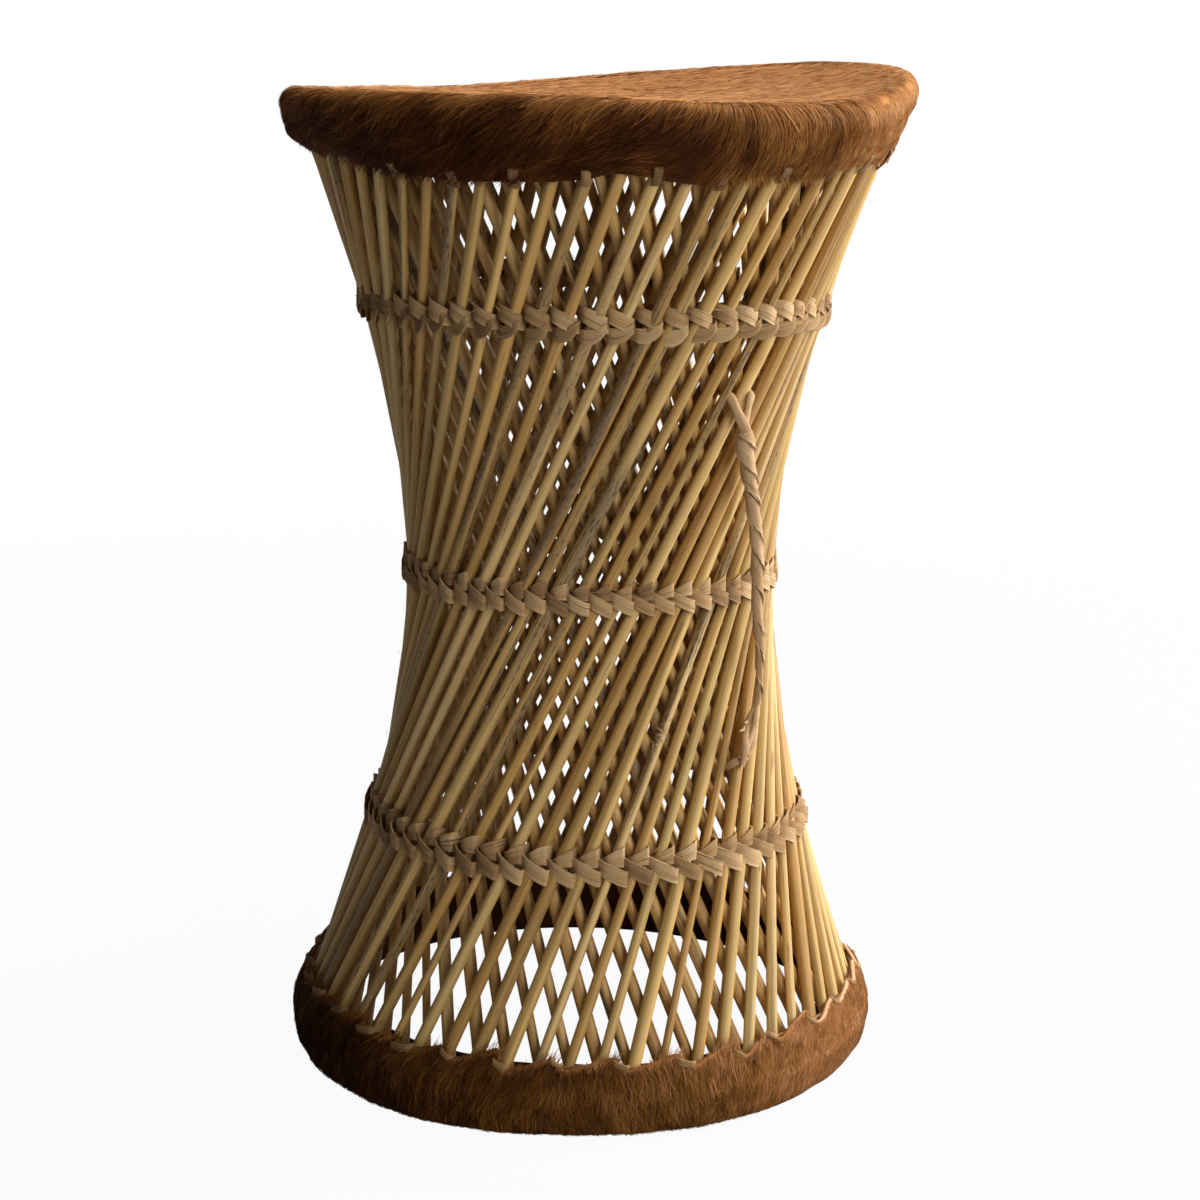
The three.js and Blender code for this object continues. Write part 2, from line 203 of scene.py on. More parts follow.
def read_table(turn, places, values, first=-180):
    """A table over degrees from the front, whose places start at first, read at turns."""
    return np.interp((np.degrees(turn) - first) % 360 + first, places, values)


def hump(turn, middle, spread):
    """A smooth hump round the stool, 1 at the middle and gone past the spread, both in degrees."""
    off = (np.degrees(turn) - middle + 180) % 360 - 180
    return np.exp(-((off / spread) ** 2))


def front_turn(turn):
    """The same turn, between half a turn to the left and half a turn to the right of the front."""
    return (turn + math.pi) % TAU - math.pi


def read_grid(values, x, y, eased=False):
    """Values between the points of a grid whose columns go round the stool."""
    rows, columns = values.shape[:2]
    x0, y0 = np.floor(x).astype(int), np.minimum(np.floor(y).astype(int), rows - 2)
    fx, fy = x - x0, y - y0
    if eased:
        fx, fy = fx * fx * (3 - 2 * fx), fy * fy * (3 - 2 * fy)
    if values.ndim > 2:
        fx, fy = fx[..., None], fy[..., None]
    x0 = x0 % columns
    x1 = (x0 + 1) % columns
    low = values[y0, x0] * (1 - fx) + values[y0, x1] * fx
    high = values[y0 + 1, x0] * (1 - fx) + values[y0 + 1, x1] * fx
    return low * (1 - fy) + high * fy


class Field:
    """A smooth random field from -1 to 1 over turn and a second measure, seamless round the stool."""

    def __init__(self, seed, across, along):
        self.values = np.random.default_rng(seed).uniform(-1, 1, (across, along)).T

    def __call__(self, turn, share):
        along, across = self.values.shape
        x, y = np.asarray(turn) / TAU % 1 * across, np.clip(share, 0, 1) * (along - 1)
        return read_grid(self.values, x, y, True)


# Mesh building
def fill(data, key, values, kind=np.float32):
    data.foreach_set(key, np.asarray(values).astype(kind).ravel())


def add_piece(name, points, corners, starts, maps, look, slot, nodes=(), grain=None, tone=None):
    """A mesh from its points, the corners of its faces and where each face starts among them."""
    mesh = bpy.data.meshes.new(name)
    mesh.vertices.add(len(points))
    fill(mesh.vertices, "co", points)
    mesh.loops.add(len(corners))
    fill(mesh.loops, "vertex_index", corners, np.int32)
    mesh.polygons.add(len(starts))
    fill(mesh.polygons, "loop_start", starts, np.int32)
    fill(mesh.polygons, "use_smooth", np.ones(len(starts)), bool)
    mesh.update(calc_edges=True)
    fill(mesh.uv_layers.new(name="OFBake").data, "uv", maps)
    if grain is not None:
        fill(mesh.attributes.new("grain", "FLOAT_VECTOR", "POINT").data, "vector", grain)
        fill(mesh.attributes.new("tone", "FLOAT", "POINT").data, "value", tone)
        mesh.validate()
    mesh.materials.append(look)
    piece = bpy.data.objects.new(name, mesh)
    bpy.context.scene.collection.objects.link(piece)
    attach(piece, "root")
    if nodes:
        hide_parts(*nodes)
    return piece


class Builder:
    """Gathers tubes and rings of points into one mesh with a grain vector, a tone and a baking map."""

    MARGIN = 0.03

    def __init__(self, cells=1, columns=None):
        self.points, self.grain, self.tone, self.quads, self.caps, self.maps = [], [], [], [], [], []
        self.count, self.cell = 0, 0
        self.columns = columns or math.ceil(math.sqrt(cells))
        self.rows = math.ceil(cells / self.columns)

    def grid(self, points, grain, tone, capped=True, loop=False):
        """Rings of points. capped closes the first and last ring, loop joins them instead."""
        rows, columns = points.shape[:2]
        index = np.arange(rows * columns).reshape(rows, columns) + self.count
        across, along = np.arange(columns), np.arange(rows if loop else rows - 1)
        beside, above = (across + 1) % columns, (along + 1) % rows
        near, far = index[along], index[above]
        self.quads.append(np.stack([near, near[:, beside], far[:, beside], far], -1).reshape(-1, 4))
        left, right = across / columns, (across + 1) / columns
        low, high = along / len(along), (along + 1) / len(along)
        u = np.stack([left, right, right, left], -1)
        v = np.stack([low, low, high, high], -1)[:, None]
        column, row = self.cell % self.columns, self.cell // self.columns
        u = (column + self.MARGIN + u * (1 - 2 * self.MARGIN)) / self.columns
        v = (row + self.MARGIN + v * (1 - 2 * self.MARGIN)) / self.rows
        self.maps.append(join(u, v).reshape(-1, 2))
        if capped and not loop:
            middle = (column + 0.5) / self.columns, (row + self.MARGIN) / self.rows
            self.caps += [(index[0][::-1], middle), (index[-1], middle)]
        self.points.append(points.reshape(-1, 3))
        self.grain.append(np.broadcast_to(grain, points.shape).reshape(-1, 3))
        self.tone.append(np.broadcast_to(tone, points.shape[:2]).reshape(-1))
        self.count += rows * columns
        self.cell += 1

    def build(self, name, look, slot, *nodes):
        quads = np.concatenate(self.quads)
        sizes = [4] * len(quads) + [len(cap) for cap, _ in self.caps]
        starts = np.concatenate([[0], np.cumsum(sizes)[:-1]])
        corners = np.concatenate([quads.ravel()] + [cap for cap, _ in self.caps])
        maps = np.concatenate(self.maps + [np.tile(middle, (len(cap), 1)) for cap, middle in self.caps])
        points, grain, tone = (np.concatenate(parts) for parts in (self.points, self.grain, self.tone))
        return add_piece(name, points, corners, starts, maps, look, slot, nodes, grain, tone)


def tube(path, guide, outline, closed=False):
    """Points of a tube. Its outline gives offsets to the side, square to the guide, and to the top."""
    step = np.roll(path, -1, 0) - np.roll(path, 1, 0) if closed else np.gradient(path, axis=0)
    tangent = unit(step)
    side = unit(np.cross(guide, tangent))
    top = np.cross(tangent, side)
    return path[:, None] + outline[..., :1] * side[:, None] + outline[..., 1:] * top[:, None]


def ellipse(half_width, half_height, sides):
    """An outline, anticlockwise from the side towards the top, which may change from row to row."""
    angle = even_turns(sides)
    wide, high = np.atleast_1d(half_width)[:, None], np.atleast_1d(half_height)[:, None]
    return join(wide * np.cos(angle), high * np.sin(angle))


def strand(builder, path, guide, outline, seed, tone, gone=None, across=None, closed=False):
    """Adds a tube whose grain runs along it. seed moves the grain to another place."""
    points = tube(path, guide, outline, closed)
    grain = np.zeros(points.shape)
    grain[..., 0] = (travelled(path) if gone is None else gone)[:, None]
    grain[..., 1:] = outline if across is None else across
    builder.grid(points, grain + seed, tone, loop=closed)


def add_fibre(builder, start, way, bend, length, outline, out, rng):
    """A fine fibre that leaves its start one way and bends another."""
    share = np.linspace(0, 1, len(outline))[:, None]
    line = start + way * length * share + bend * length * share**2
    seed, tone = rng.uniform(-3, 3, 3), rng.uniform(0.4, 1.0)
    strand(builder, line, out, outline, seed, tone, share[:, 0] * length, 0.0)


# Materials
def linear(code):
    """A hex colour as linear light."""
    parts = [int(code[k : k + 2], 16) / 255 for k in (0, 2, 4)]
    return tuple(p / 12.92 if p <= 0.04045 else ((p + 0.055) / 1.055) ** 2.4 for p in parts) + (1.0,)


def connect(tree, source, socket):
    if isinstance(source, bpy.types.NodeSocket):
        tree.links.new(source, socket)
    else:
        socket.default_value = linear(source) if isinstance(source, str) else source


def add_node(tree, kind, inputs, **settings):
    """A shader node's outputs. Each input is the socket to link or the value to set."""
    node = tree.nodes.new("ShaderNode" + kind)
    for key, value in settings.items():
        setattr(node, key, value)
    for key, value in inputs.items():
        connect(tree, value, node.inputs[key])
    return node.outputs


class Surface:
    """A material and short ways to add its nodes. Its noises are stretched along the grain."""

    def __init__(self, name, roughness, specular):
        self.material = bpy.data.materials.new(name)
        self.material.use_nodes = True
        self.tree = self.material.node_tree
        self.shader = self.tree.nodes["Principled BSDF"].inputs
        self.shader["Roughness"].default_value = roughness
        self.shader["Specular IOR Level"].default_value = specular

    @cached_property
    def grain(self):
        return self.node("Attribute", {}, attribute_name="grain")["Vector"]

    @cached_property
    def tone(self):
        return self.node("Attribute", {}, attribute_name="tone")["Fac"]

    def node(self, kind, inputs, **settings):
        return add_node(self.tree, kind, inputs, **settings)

    def noise(self, stretch, detail=2.0, rough=0.55, distortion=0.0):
        vector = self.node("VectorMath", {0: self.grain, 1: stretch}, operation="MULTIPLY")[0]
        look = {"Detail": detail, "Roughness": rough, "Distortion": distortion}
        return self.node("TexNoise", {"Vector": vector, "Scale": 1.0, **look})["Fac"]

    def ramp(self, factor, *stops):
        """stops are (place, colour or number) in order."""
        colour = self.node("ValToRGB", {"Fac": factor})["Color"]
        elements = colour.node.color_ramp.elements
        while len(elements) < len(stops):
            elements.new(0.5)
        for element, (place, value) in zip(elements, stops):
            element.position = place
            element.color = linear(value) if isinstance(value, str) else (value, value, value, 1)
        return colour

    def mix(self, factor, first, second, how="MIX"):
        return self.node("Mix", {0: factor, 6: first, 7: second}, data_type="RGBA", blend_type=how)[2]

    def math(self, how, first, second):
        return self.node("Math", {0: first, 1: second}, operation=how)[0]

    def share(self, first, part, second):
        """A part of the first and the rest of the second."""
        return self.math("ADD", self.math("MULTIPLY", first, part), self.math("MULTIPLY", second, 1 - part))

    def finish(self, colour, height=None, distance=0.0, strength=1.0):
        """Sets the colour and the bump, and gives the material."""
        connect(self.tree, colour, self.shader["Base Color"])
        if height is not None:
            bump = self.node("Bump", {"Distance": distance, "Strength": strength, "Height": height})
            connect(self.tree, bump["Normal"], self.shader["Normal"])
        return self.material


def reed_material(name, shades, olive, grey, stain):
    """Peeled reed: fine streaks, honey and olive runs, weathered grey streaks with dark specks, stains."""
    s = Surface(name, 0.42, 0.42)
    base = s.ramp(s.share(s.tone, 0.6, s.noise((9, 60, 60))), *shades)
    tinted = s.mix(s.ramp(s.noise((2.4, 9, 9)), (0.50, 0.0), (0.66, 0.5)), base, olive)
    fine = s.noise((14, 1500, 1500), 4.0, 0.6)
    streaked = s.mix(0.8, tinted, s.ramp(fine, (0.30, 0.58), (0.52, 1.0), (0.72, 1.18)), "MULTIPLY")
    weather = s.ramp(s.noise((6, 250, 250), 3.0, 0.7), (0.46, 0.0), (0.56, 1.0))
    greyed = s.math("MULTIPLY", weather, s.ramp(s.noise((2.9, 11, 11)), (0.54, 0.0), (0.63, 0.85)))
    worn = s.mix(greyed, streaked, grey)
    specks = s.ramp(s.noise((300, 1000, 1000), 2.0, 0.6), (0.54, 0.0), (0.62, 0.9))
    dotted = s.mix(s.math("MULTIPLY", greyed, specks), worn, "2e221d")
    spots = s.ramp(s.noise((38, 420, 420), 3.0, 0.6), (0.62, 0.0), (0.72, 0.7))
    return s.finish(s.mix(spots, dotted, stain), fine, 0.00024, 0.6)


def strip_material(name, dark, *shades):
    """Flat grass strip: matte, fibrous along its length, with darker creases."""
    s = Surface(name, 0.78, 0.2)
    base = s.ramp(s.share(s.tone, 0.65, s.noise((60, 160, 160))), *shades)
    fine = s.noise((60, 2600, 2600), 4.0, 0.65)
    fibres = s.mix(0.85, base, s.ramp(fine, (0.28, 0.48), (0.5, 1.0), (0.75, 1.28)), "MULTIPLY")
    cracks = s.ramp(s.noise((24, 1100, 1100), 3.0, 0.6), (0.32, 0.8), (0.40, 0.0))
    return s.finish(s.mix(cracks, fibres, dark), fine, 0.0005, 0.9)


def fur_material(name, roots, tips):
    """Hair: the map's first measure is the hair's shade and its second runs from root to tip."""
    s = Surface(name, 0.6, 0.06)
    split = s.node("SeparateXYZ", {0: s.node("UVMap", {}, uv_map="OFBake")["UV"]})
    return s.finish(s.mix(split["Y"], s.ramp(split["X"], *roots), s.ramp(split["X"], *tips)))


def skin_material(name, dark, light, pale):
    """The hide under and between the hairs: fine hair-like streaks, darker and lighter patches."""
    s = Surface(name, 0.75, 0.06)
    fine = s.noise((160, 1900, 1900), 4.0, 0.62, 0.3)
    wide = s.ramp(s.noise((40, 150, 150), 3.0, 0.6, 0.4), (0.35, 0.7), (0.65, 1.2))
    shade = s.share(s.tone, 0.6, s.noise((18, 18, 18), 3.0))
    base = s.mix(s.ramp(shade, (0.2, 0.0), (0.75, 1.0)), dark, light)
    streaks = s.mix(0.75, base, s.ramp(fine, (0.3, 0.55), (0.5, 1.0), (0.72, 1.3)), "MULTIPLY")
    waves = s.mix(0.5, streaks, wide, "MULTIPLY")
    return s.finish(s.mix(s.ramp(shade, (0.86, 0.0), (0.97, 0.85)), waves, pale), fine, 0.0005, 0.6)


def grass_material(name, dark, light):
    """Bundled grass on the hidden hoops, streaked round the ring."""
    s = Surface(name, 0.85, 0.15)
    s.grain = s.node("TexCoord", {})["Object"]
    blades = s.noise((105, 105, 420), 5.0, 0.65)
    base = s.mix(s.ramp(blades, (0.35, 0.0), (0.65, 1.0)), dark, light)
    patches = s.ramp(s.noise((30, 30, 30)), (0.3, 0.65), (0.7, 1.15))
    return s.finish(s.mix(0.35, base, patches, "MULTIPLY"), blades, 0.0006, 0.8)


outer_shades = [(0.1, "a0753b"), (0.35, "bf934f"), (0.65, "d3ab66"), (0.95, "e4c48c")]
inner_shades = [(0.1, "a3743a"), (0.35, "c09250"), (0.65, "d3a764"), (0.95, "e2c286")]
reed_look = reed_material("reed", outer_shades, "ab9458", "7d6749", "8a5c2c")
inner_reed_look = reed_material("inner_reed", inner_shades, "a98d55", "7a6547", "93602f")
strip_look = strip_material(
    "grass_strip", "62462c", (0.1, "8d6c48"), (0.4, "b79163"), (0.7, "d1ad7e"), (0.95, "e3c79c")
)
rope_look = strip_material(
    "handle_leaf", "6b4c2e", (0.1, "a07b55"), (0.4, "bd966a"), (0.7, "cfaa80"), (0.95, "dcbd96")
)
thong_look = strip_material("rawhide_thong", "523a24", (0.1, "6e5236"), (0.5, "a68154"), (0.9, "d6b288"))
seat_skin_look = skin_material("seat_skin", "1a0803", "b97d46", "dcb68c")
foot_skin_look = skin_material("foot_skin", "1a0903", "a0683a", "d3ab82")
seat_fur_look = fur_material(
    "seat_fur",
    [(0.0, "170702"), (0.3, "41200b"), (0.6, "8c5626"), (1.0, "c48a56")],
    [(0.0, "2a1105"), (0.3, "5c2f10"), (0.6, "aa7138"), (1.0, "dfab76")],
)
foot_fur_look = fur_material(
    "foot_fur",
    [(0.0, "170a02"), (0.3, "3c1f09"), (0.5, "6a4019"), (0.66, "88552f"), (1.0, "a8744e")],
    [(0.0, "331a07"), (0.3, "6a3f15"), (0.5, "996729"), (0.66, "a97546"), (1.0, "c49468")],
)
hoop_look = grass_material("hidden_grass", "5d452a", "a1825a")


# Camera
def add_camera():
    data = bpy.data.cameras.new("camera")
    data.lens, data.sensor_width = LENS_MM, SENSOR_MM
    data.clip_start, data.clip_end = 0.05, 50
    camera = bpy.data.objects.new("camera", data)
    camera.location = CAMERA_PLACE
    camera.rotation_mode = "QUATERNION"
    pitch = Quaternion((1, 0, 0), math.radians(90 - CAMERA_PITCH_DEGREES))
    camera.rotation_quaternion = pitch @ Quaternion((0, 0, 1), math.radians(CAMERA_ROLL_DEGREES))
    bpy.context.scene.collection.objects.link(camera)
    bpy.context.scene.camera = camera


# Rope handle
ROPE_RADIUS = 0.0034
ROPE_TAPER = (0.0, 0.12, 0.30, 0.55, 0.72, 0.85, 0.93, 1.0), (1.26, 1.15, 0.98, 0.82, 0.70, 0.60, 0.48, 0.50)
SEAM_STEP_TOP, SEAM_STEP_BOTTOM = 0.0125, 0.0185
ROPE_SLIVERS = 44
PLY_RADIUS = 0.0021
ROPE_STEPS, FORK_STEPS, SPINE_STEPS, LOOP_STEPS, FRAY_STEPS = 260, 110, 64, 80, 14


def add_rope():
    """Two flat-sided plies wound round each other, each with a raised, frayed edge over the other."""
    route = []
    for lift, cane, row in ROPE_ROUTE:
        height = row_height(row)
        radius = outside_canes(height) + lift * ROPE_DIAMETER
        route.append(polar(radius, outer_cane_place(height, cane), height))
    path = smooth_curve(route, ROPE_STEPS)
    gone = travelled(path)
    share = gone / gone[-1]
    outward = unit(path * LEVEL)
    tangent = unit(np.gradient(path, axis=0))
    rightward = np.cross(outward, tangent)
    rng = np.random.default_rng(41)
    builder = Builder(2 + ROPE_SLIVERS)
    radius = ROPE_RADIUS * np.interp(share, *ROPE_TAPER)
    radius *= 1 + 0.05 * np.sin(gone / 0.011 + 1.3) + 0.035 * np.sin(gone / 0.0047)
    seam_step = SEAM_STEP_TOP + (SEAM_STEP_BOTTOM - SEAM_STEP_TOP) * share
    winding = math.pi * np.cumsum(np.gradient(gone) / seam_step)
    across, back = np.linspace(-0.5, 0.5, 17), np.linspace(0.9, -0.9, 5)
    edges = []
    for ply in range(2):
        phase = (winding + ply * math.pi + 0.35 * np.sin(gone / 0.017 + ply * 2.1))[:, None]
        angle = phase + across * math.pi * 1.05
        ridges = 0.018 * np.sin(across * 38 + ply) + 0.012 * np.sin(gone[:, None] / 0.003 + across * 9)
        round_side = wheel(radius[:, None] * (0.78 + 0.30 * (0.5 - across) ** 1.25 + ridges), angle)
        flat_side = wheel(radius[:, None] * back * 0.76, phase + math.pi / 2)
        outline = np.concatenate([round_side, flat_side], 1)
        points = path[:, None] + outline[..., :1] * outward[:, None] + outline[..., 1:] * rightward[:, None]
        grain = join(gone[:, None], np.linspace(0, 1, points.shape[1]) * 0.012, 0.3 + ply)
        tone = 0.5 + 0.25 * np.sin(gone / 0.03 + ply)[:, None] + rng.uniform(-0.08, 0.08, points.shape[:2])
        # The raised edge of each ply is painted lighter: a painted highlight along it.
        tone[:, :2] += 0.25
        builder.grid(points, grain, tone)
        edges.append((points[:, 0], angle[:, 0]))
    for sliver in range(ROPE_SLIVERS):
        edge, angle = edges[sliver % 2]
        way = unit(np.gradient(edge, axis=0))
        facing = np.flatnonzero(np.cos(angle[4:-14]) > -0.15) + 4
        row = int(facing[int(rng.uniform(0, 1) * len(facing))])
        out = outward[row]
        start = edge[row] - way[row] * 0.0015 - out * 0.0002
        reach = rng.uniform(0.0025, 0.0055)
        aim = unit(way[row] + out * rng.uniform(0.05, 0.35) + rightward[row] * rng.normal(0, 0.25))
        bend = out * rng.uniform(-0.3, 0.1) + tangent[row] * rng.uniform(0.0, 0.5)
        wide = rng.uniform(0.0003, 0.0007) * (1.02 - np.linspace(0, 1, 8))
        add_fibre(builder, start, aim, bend, reach, ellipse(wide, 0.00016, 6), out, rng)
    rope = builder.build("handle_rope_plies", rope_look, "handle_rope", "handle_rope")
    return path


def crossing(row, cane, proud):
    """A crossing of the lattice: its height, the depths before, within and behind it, and places round it."""
    height = row_height(row)
    turn = outer_cane_place(height, cane)
    front, back = outside_canes(height) + proud, inside_canes(height) - PLY_RADIUS * 0.8

    def place(depth, canes, rise):
        return polar(depth, turn + canes * CANE_PITCH, height + rise)

    return front, (front + back) / 2, back, place


def add_fork(path):
    """The top of the rope: one ply is the middle of a strand that passes round a crossing of the lattice."""
    front, inside, back, place = crossing(FORK_ROW, FORK_CANE, PLY_RADIUS * 0.8)
    end = path[0]
    out = unit(end * LEVEL)
    along = unit(path[0] - path[4])
    aside = unit(np.cross(along, out)) * PLY_RADIUS
    line = smooth_curve(
        [
            end - along * 0.010 + aside * 1.0 - out * 0.0006,
            end - along * 0.003 + aside * 0.7 + out * 0.0012,
            place(front + 0.0024, -0.22, -0.0030),
            place(front + 0.0010, -0.42, 0.0025),
            place(front - 0.0020, -0.44, 0.0065),
            place(inside, -0.36, 0.0080),
            place(back, -0.2, 0.0080),
            place(back, 0.4, 0.0080),
            place(inside, 0.74, 0.0085),
            place(front - 0.0005, 0.56, 0.0075),
            place(front + 0.0014, 0.32, 0.0040),
            place(front + 0.0010, 0.20, -0.0030),
            end - along * 0.001 - aside * 0.2 - out * 0.0008,
            end - along * 0.008 - aside * 0.9 - out * 0.0006,
        ],
        FORK_STEPS,
    )
    share = np.linspace(0, 1, len(line))
    width = (0.0030 - 0.0008 * np.sin(share * math.pi) ** 0.6) * (1 + 0.05 * np.sin(share * 46))
    builder = Builder()
    strand(builder, line, unit(line - place(inside, 0, 0)), ellipse(width, width * 0.62, 14), 3.0, 0.6)
    builder.build("handle_fork_ply", rope_look, "handle_rope", "handle_top_fork")


def add_knot(path):
    """The bottom of the rope: the strands wrap the tail, pass round a crossing and end in frayed strips."""
    front, inside, back, place = crossing(KNOT_ROW, KNOT_CANE, PLY_RADIUS)
    seat = place(front + 0.0004, 0, 0)
    out = unit(seat * LEVEL)
    right = unit(np.cross(UP, out))
    builder = Builder(10)
    heel = seat + UP * 0.0035 - right * 0.0012
    tip = seat - UP * 0.0012 - right * 0.0026 - out * 0.0012
    waist = path[-14] - right * 0.0010
    between = (path[-1] + heel) / 2 + out * 0.0008
    spine = smooth_curve([path[-30], waist, path[-1], between, heel, tip], SPINE_STEPS)
    share = np.linspace(0, 1, len(spine))
    spread = 0.0033 * np.clip(np.sin(math.pi * share**1.5), 0, 1) ** 1.1
    wave = 0.0009 * np.sin(TAU * share)
    fat = 0.0012 + 0.0013 * np.clip(np.sin(math.pi * share**1.4), 0, 1) ** 0.8
    for way, seed in ((-1, 5.0), (1, 5.7)):
        line = spine + (way * spread)[:, None] * right + (way * wave + 0.0004)[:, None] * out
        strand(builder, line, out, ellipse(fat, fat * 0.6, 12), seed, 0.5 + 0.12 * way)
    cross = share[12:54]
    swing = 0.0030 * np.cos(math.pi * (cross - cross[0]) / (cross[-1] - cross[0]))
    rise = 0.0017 * np.sin(math.pi * np.linspace(0, 1, 42))
    line = spine[12:54] + swing[:, None] * right + rise[:, None] * out
    strand(builder, line, out, ellipse(np.linspace(0.0020, 0.0016, 42), 0.0010, 12), 6.3, 0.7)
    line = smooth_curve(
        [
            seat + out * 0.0006 + UP * 0.0050,
            place(front - 0.002, 0.44, 0.004),
            place(inside, 0.52, 0.002),
            place(back, 0.3, 0),
            place(back, -0.3, -0.001),
            place(inside, -0.52, -0.002),
            place(front - 0.002, -0.44, 0.0012),
            seat + out * 0.0006 + UP * 0.0032,
        ],
        LOOP_STEPS,
    )
    strand(builder, line, unit(line - place(inside, 0, 0)), ellipse(0.0019, 0.0011, 10), 6.0, 0.6)
    rng = np.random.default_rng(17)
    for strip in range(6):
        low = strip < 4
        start = spine[-6] if low else spine[int(rng.uniform(14, 40))] - right * 0.003
        start = start + right * rng.uniform(-0.0012, 0.0012)
        fall = UP * (-rng.uniform(0.002, 0.0045) if low else rng.uniform(-0.003, 0.002))
        lean = right * (rng.uniform(-0.0025, 0.002) if low else -rng.uniform(0.002, 0.004))
        lean = lean + out * rng.uniform(0, 0.001)
        half_way = start + (lean + fall) * 0.5 + out * 0.0004
        fray = smooth_curve([start, half_way, start + lean * 1.3 + fall], FRAY_STEPS)
        wide = np.linspace(rng.uniform(0.0006, 0.0013), 0.0002, FRAY_STEPS)
        strand(builder, fray, out, ellipse(wide, 0.00025, 10), 8.0 + strip, 0.8)
    builder.build("handle_knot_strands", rope_look, "handle_rope", "handle_bottom_knot")


# Reeds
CANE_SIDES = 16
CANE_STEPS = 56
CANES_PER_PANEL = 4
PANELS_PER_PIECE = 2
KNUCKLE = 0.007


def cane_points(layer, turn, rng):
    """A reed, nearly straight and round, with a little bow, taper, soft facets and sometimes a joint."""
    share = np.linspace(0, 1, CANE_STEPS)
    height = CANE_BOTTOM + (CANE_TOP - CANE_BOTTOM) * share
    bow = np.sin(share * math.pi) * rng.normal(0, 0.0008) + np.sin(share * TAU) * rng.normal(0, 0.0006)
    sway = np.sin(share * math.pi * 3 + rng.uniform(0, TAU)) * rng.normal(0, 0.0002)
    axis = join(layer.lean * layer.sidestep(height) + bow + sway, -layer.waist, height)
    size = CANE_RADIUS * np.clip(rng.normal(1.06, 0.13), 0.70, 1.24)
    size = size * (1 + rng.normal(0, 0.06) * (share - 0.5))
    knuckle = np.exp(-(((share - rng.uniform(0, 1.5)) / KNUCKLE) ** 2))
    size = size * (1 + 0.09 * knuckle)
    angle = even_turns(CANE_SIDES)
    twist = share[:, None] * rng.normal(0, 0.9)
    facets = np.ones((CANE_STEPS, CANE_SIDES))
    for flat, cut in zip(rng.uniform(0, TAU, 3), rng.uniform(0.82, 0.94, 3)):
        facets = np.minimum(facets, cut / np.maximum(np.cos(angle + twist - flat), 0.5))
    outline = size[:, None, None] * facets[..., None] * wheel(1.0, angle)
    along = unit(np.array([layer.lean * layer.slope, 0, 1.0]))
    side = unit(np.cross((0, 1.0, 0), along))
    points = axis[:, None] + outline[..., :1] * side + outline[..., 1:] * np.cross(along, side)
    cos, sin = math.cos(turn), math.sin(turn)
    turned = points @ np.array([[cos, sin, 0], [-sin, cos, 0], [0, 0, 1]])
    grain = join(height[:, None], outline[..., 0], outline[..., 1])
    return turned, grain + rng.uniform(-4, 4, 3), knuckle[:, None]


def add_reeds(prefix, nodes, layer, cane_turn, look, slot, seed):
    rng = np.random.default_rng(seed)
    canes = PANELS_PER_PIECE * CANES_PER_PANEL
    for first in range(0, CANE_COUNT // CANES_PER_PANEL, PANELS_PER_PIECE):
        builder = Builder(canes, canes)
        for cane in range(first * CANES_PER_PANEL, first * CANES_PER_PANEL + canes):
            aside = float(np.clip(rng.normal(0, 0.045), -0.09, 0.09)) * CANE_PITCH
            points, grain, knuckle = cane_points(layer, cane_turn(cane) + aside, rng)
            builder.grid(points, grain, rng.uniform(0.05, 0.95) - 0.3 * knuckle)
        panels = [f"{nodes}_{first + k + 1:02d}" for k in range(PANELS_PER_PIECE)]
        builder.build(f"{prefix}_{first // PANELS_PER_PIECE + 1:02d}", look, slot, *panels)


# Twined bands
STRIP_HALF_THICKNESS = 0.00045
PERIOD_SAMPLES = 400
PERIOD_SPREAD = 6
CREASE_DEGREES = 46

# A strand's way over one cane and behind the next: place in canes, depth from behind to before the reeds,
# level and width in half heights of the band. The lower two bands have a fan above and a slant below, the
# upper one a broad strip above and a crescent below.
FAN_SHARES = [
    (-0.52, 0.20, 0.00, 0.40), (-0.38, 0.66, 0.08, 0.46), (-0.18, 0.95, 0.22, 0.60), (0.05, 1.03, 0.37, 0.80),
    (0.26, 1.04, 0.47, 0.98), (0.42, 1.02, 0.52, 1.08), (0.49, 0.84, 0.53, 1.08), (0.55, 0.40, 0.50, 0.98),
    (0.66, 0.10, 0.42, 0.84), (0.95, -0.02, 0.28, 0.74), (1.25, -0.01, 0.12, 0.58),
]
SLANT_SHARES = [
    (-0.86, 0.14, 0.26, 0.55), (-0.72, 0.50, 0.20, 0.66), (-0.54, 0.86, 0.06, 0.80),
    (-0.30, 1.04, -0.16, 0.88), (-0.04, 1.10, -0.38, 0.90), (0.24, 1.12, -0.60, 0.90),
    (0.48, 1.08, -0.76, 0.90), (0.57, 0.86, -0.80, 0.90), (0.63, 0.42, -0.76, 0.86),
    (0.72, 0.10, -0.62, 0.80), (0.90, -0.02, -0.36, 0.72), (1.04, -0.01, -0.04, 0.60),
]
BROAD_SHARES = [
    (-0.66, 0.14, 0.86, 0.60), (-0.50, 0.56, 0.78, 0.74), (-0.30, 0.93, 0.65, 0.84),
    (-0.04, 1.03, 0.45, 0.88), (0.20, 1.04, 0.25, 0.88), (0.42, 0.99, 0.06, 0.86),
    (0.56, 0.76, -0.04, 0.84), (0.63, 0.40, -0.06, 0.80), (0.76, 0.10, 0.06, 0.72),
    (1.00, -0.02, 0.40, 0.66), (1.18, 0.00, 0.72, 0.60),
]
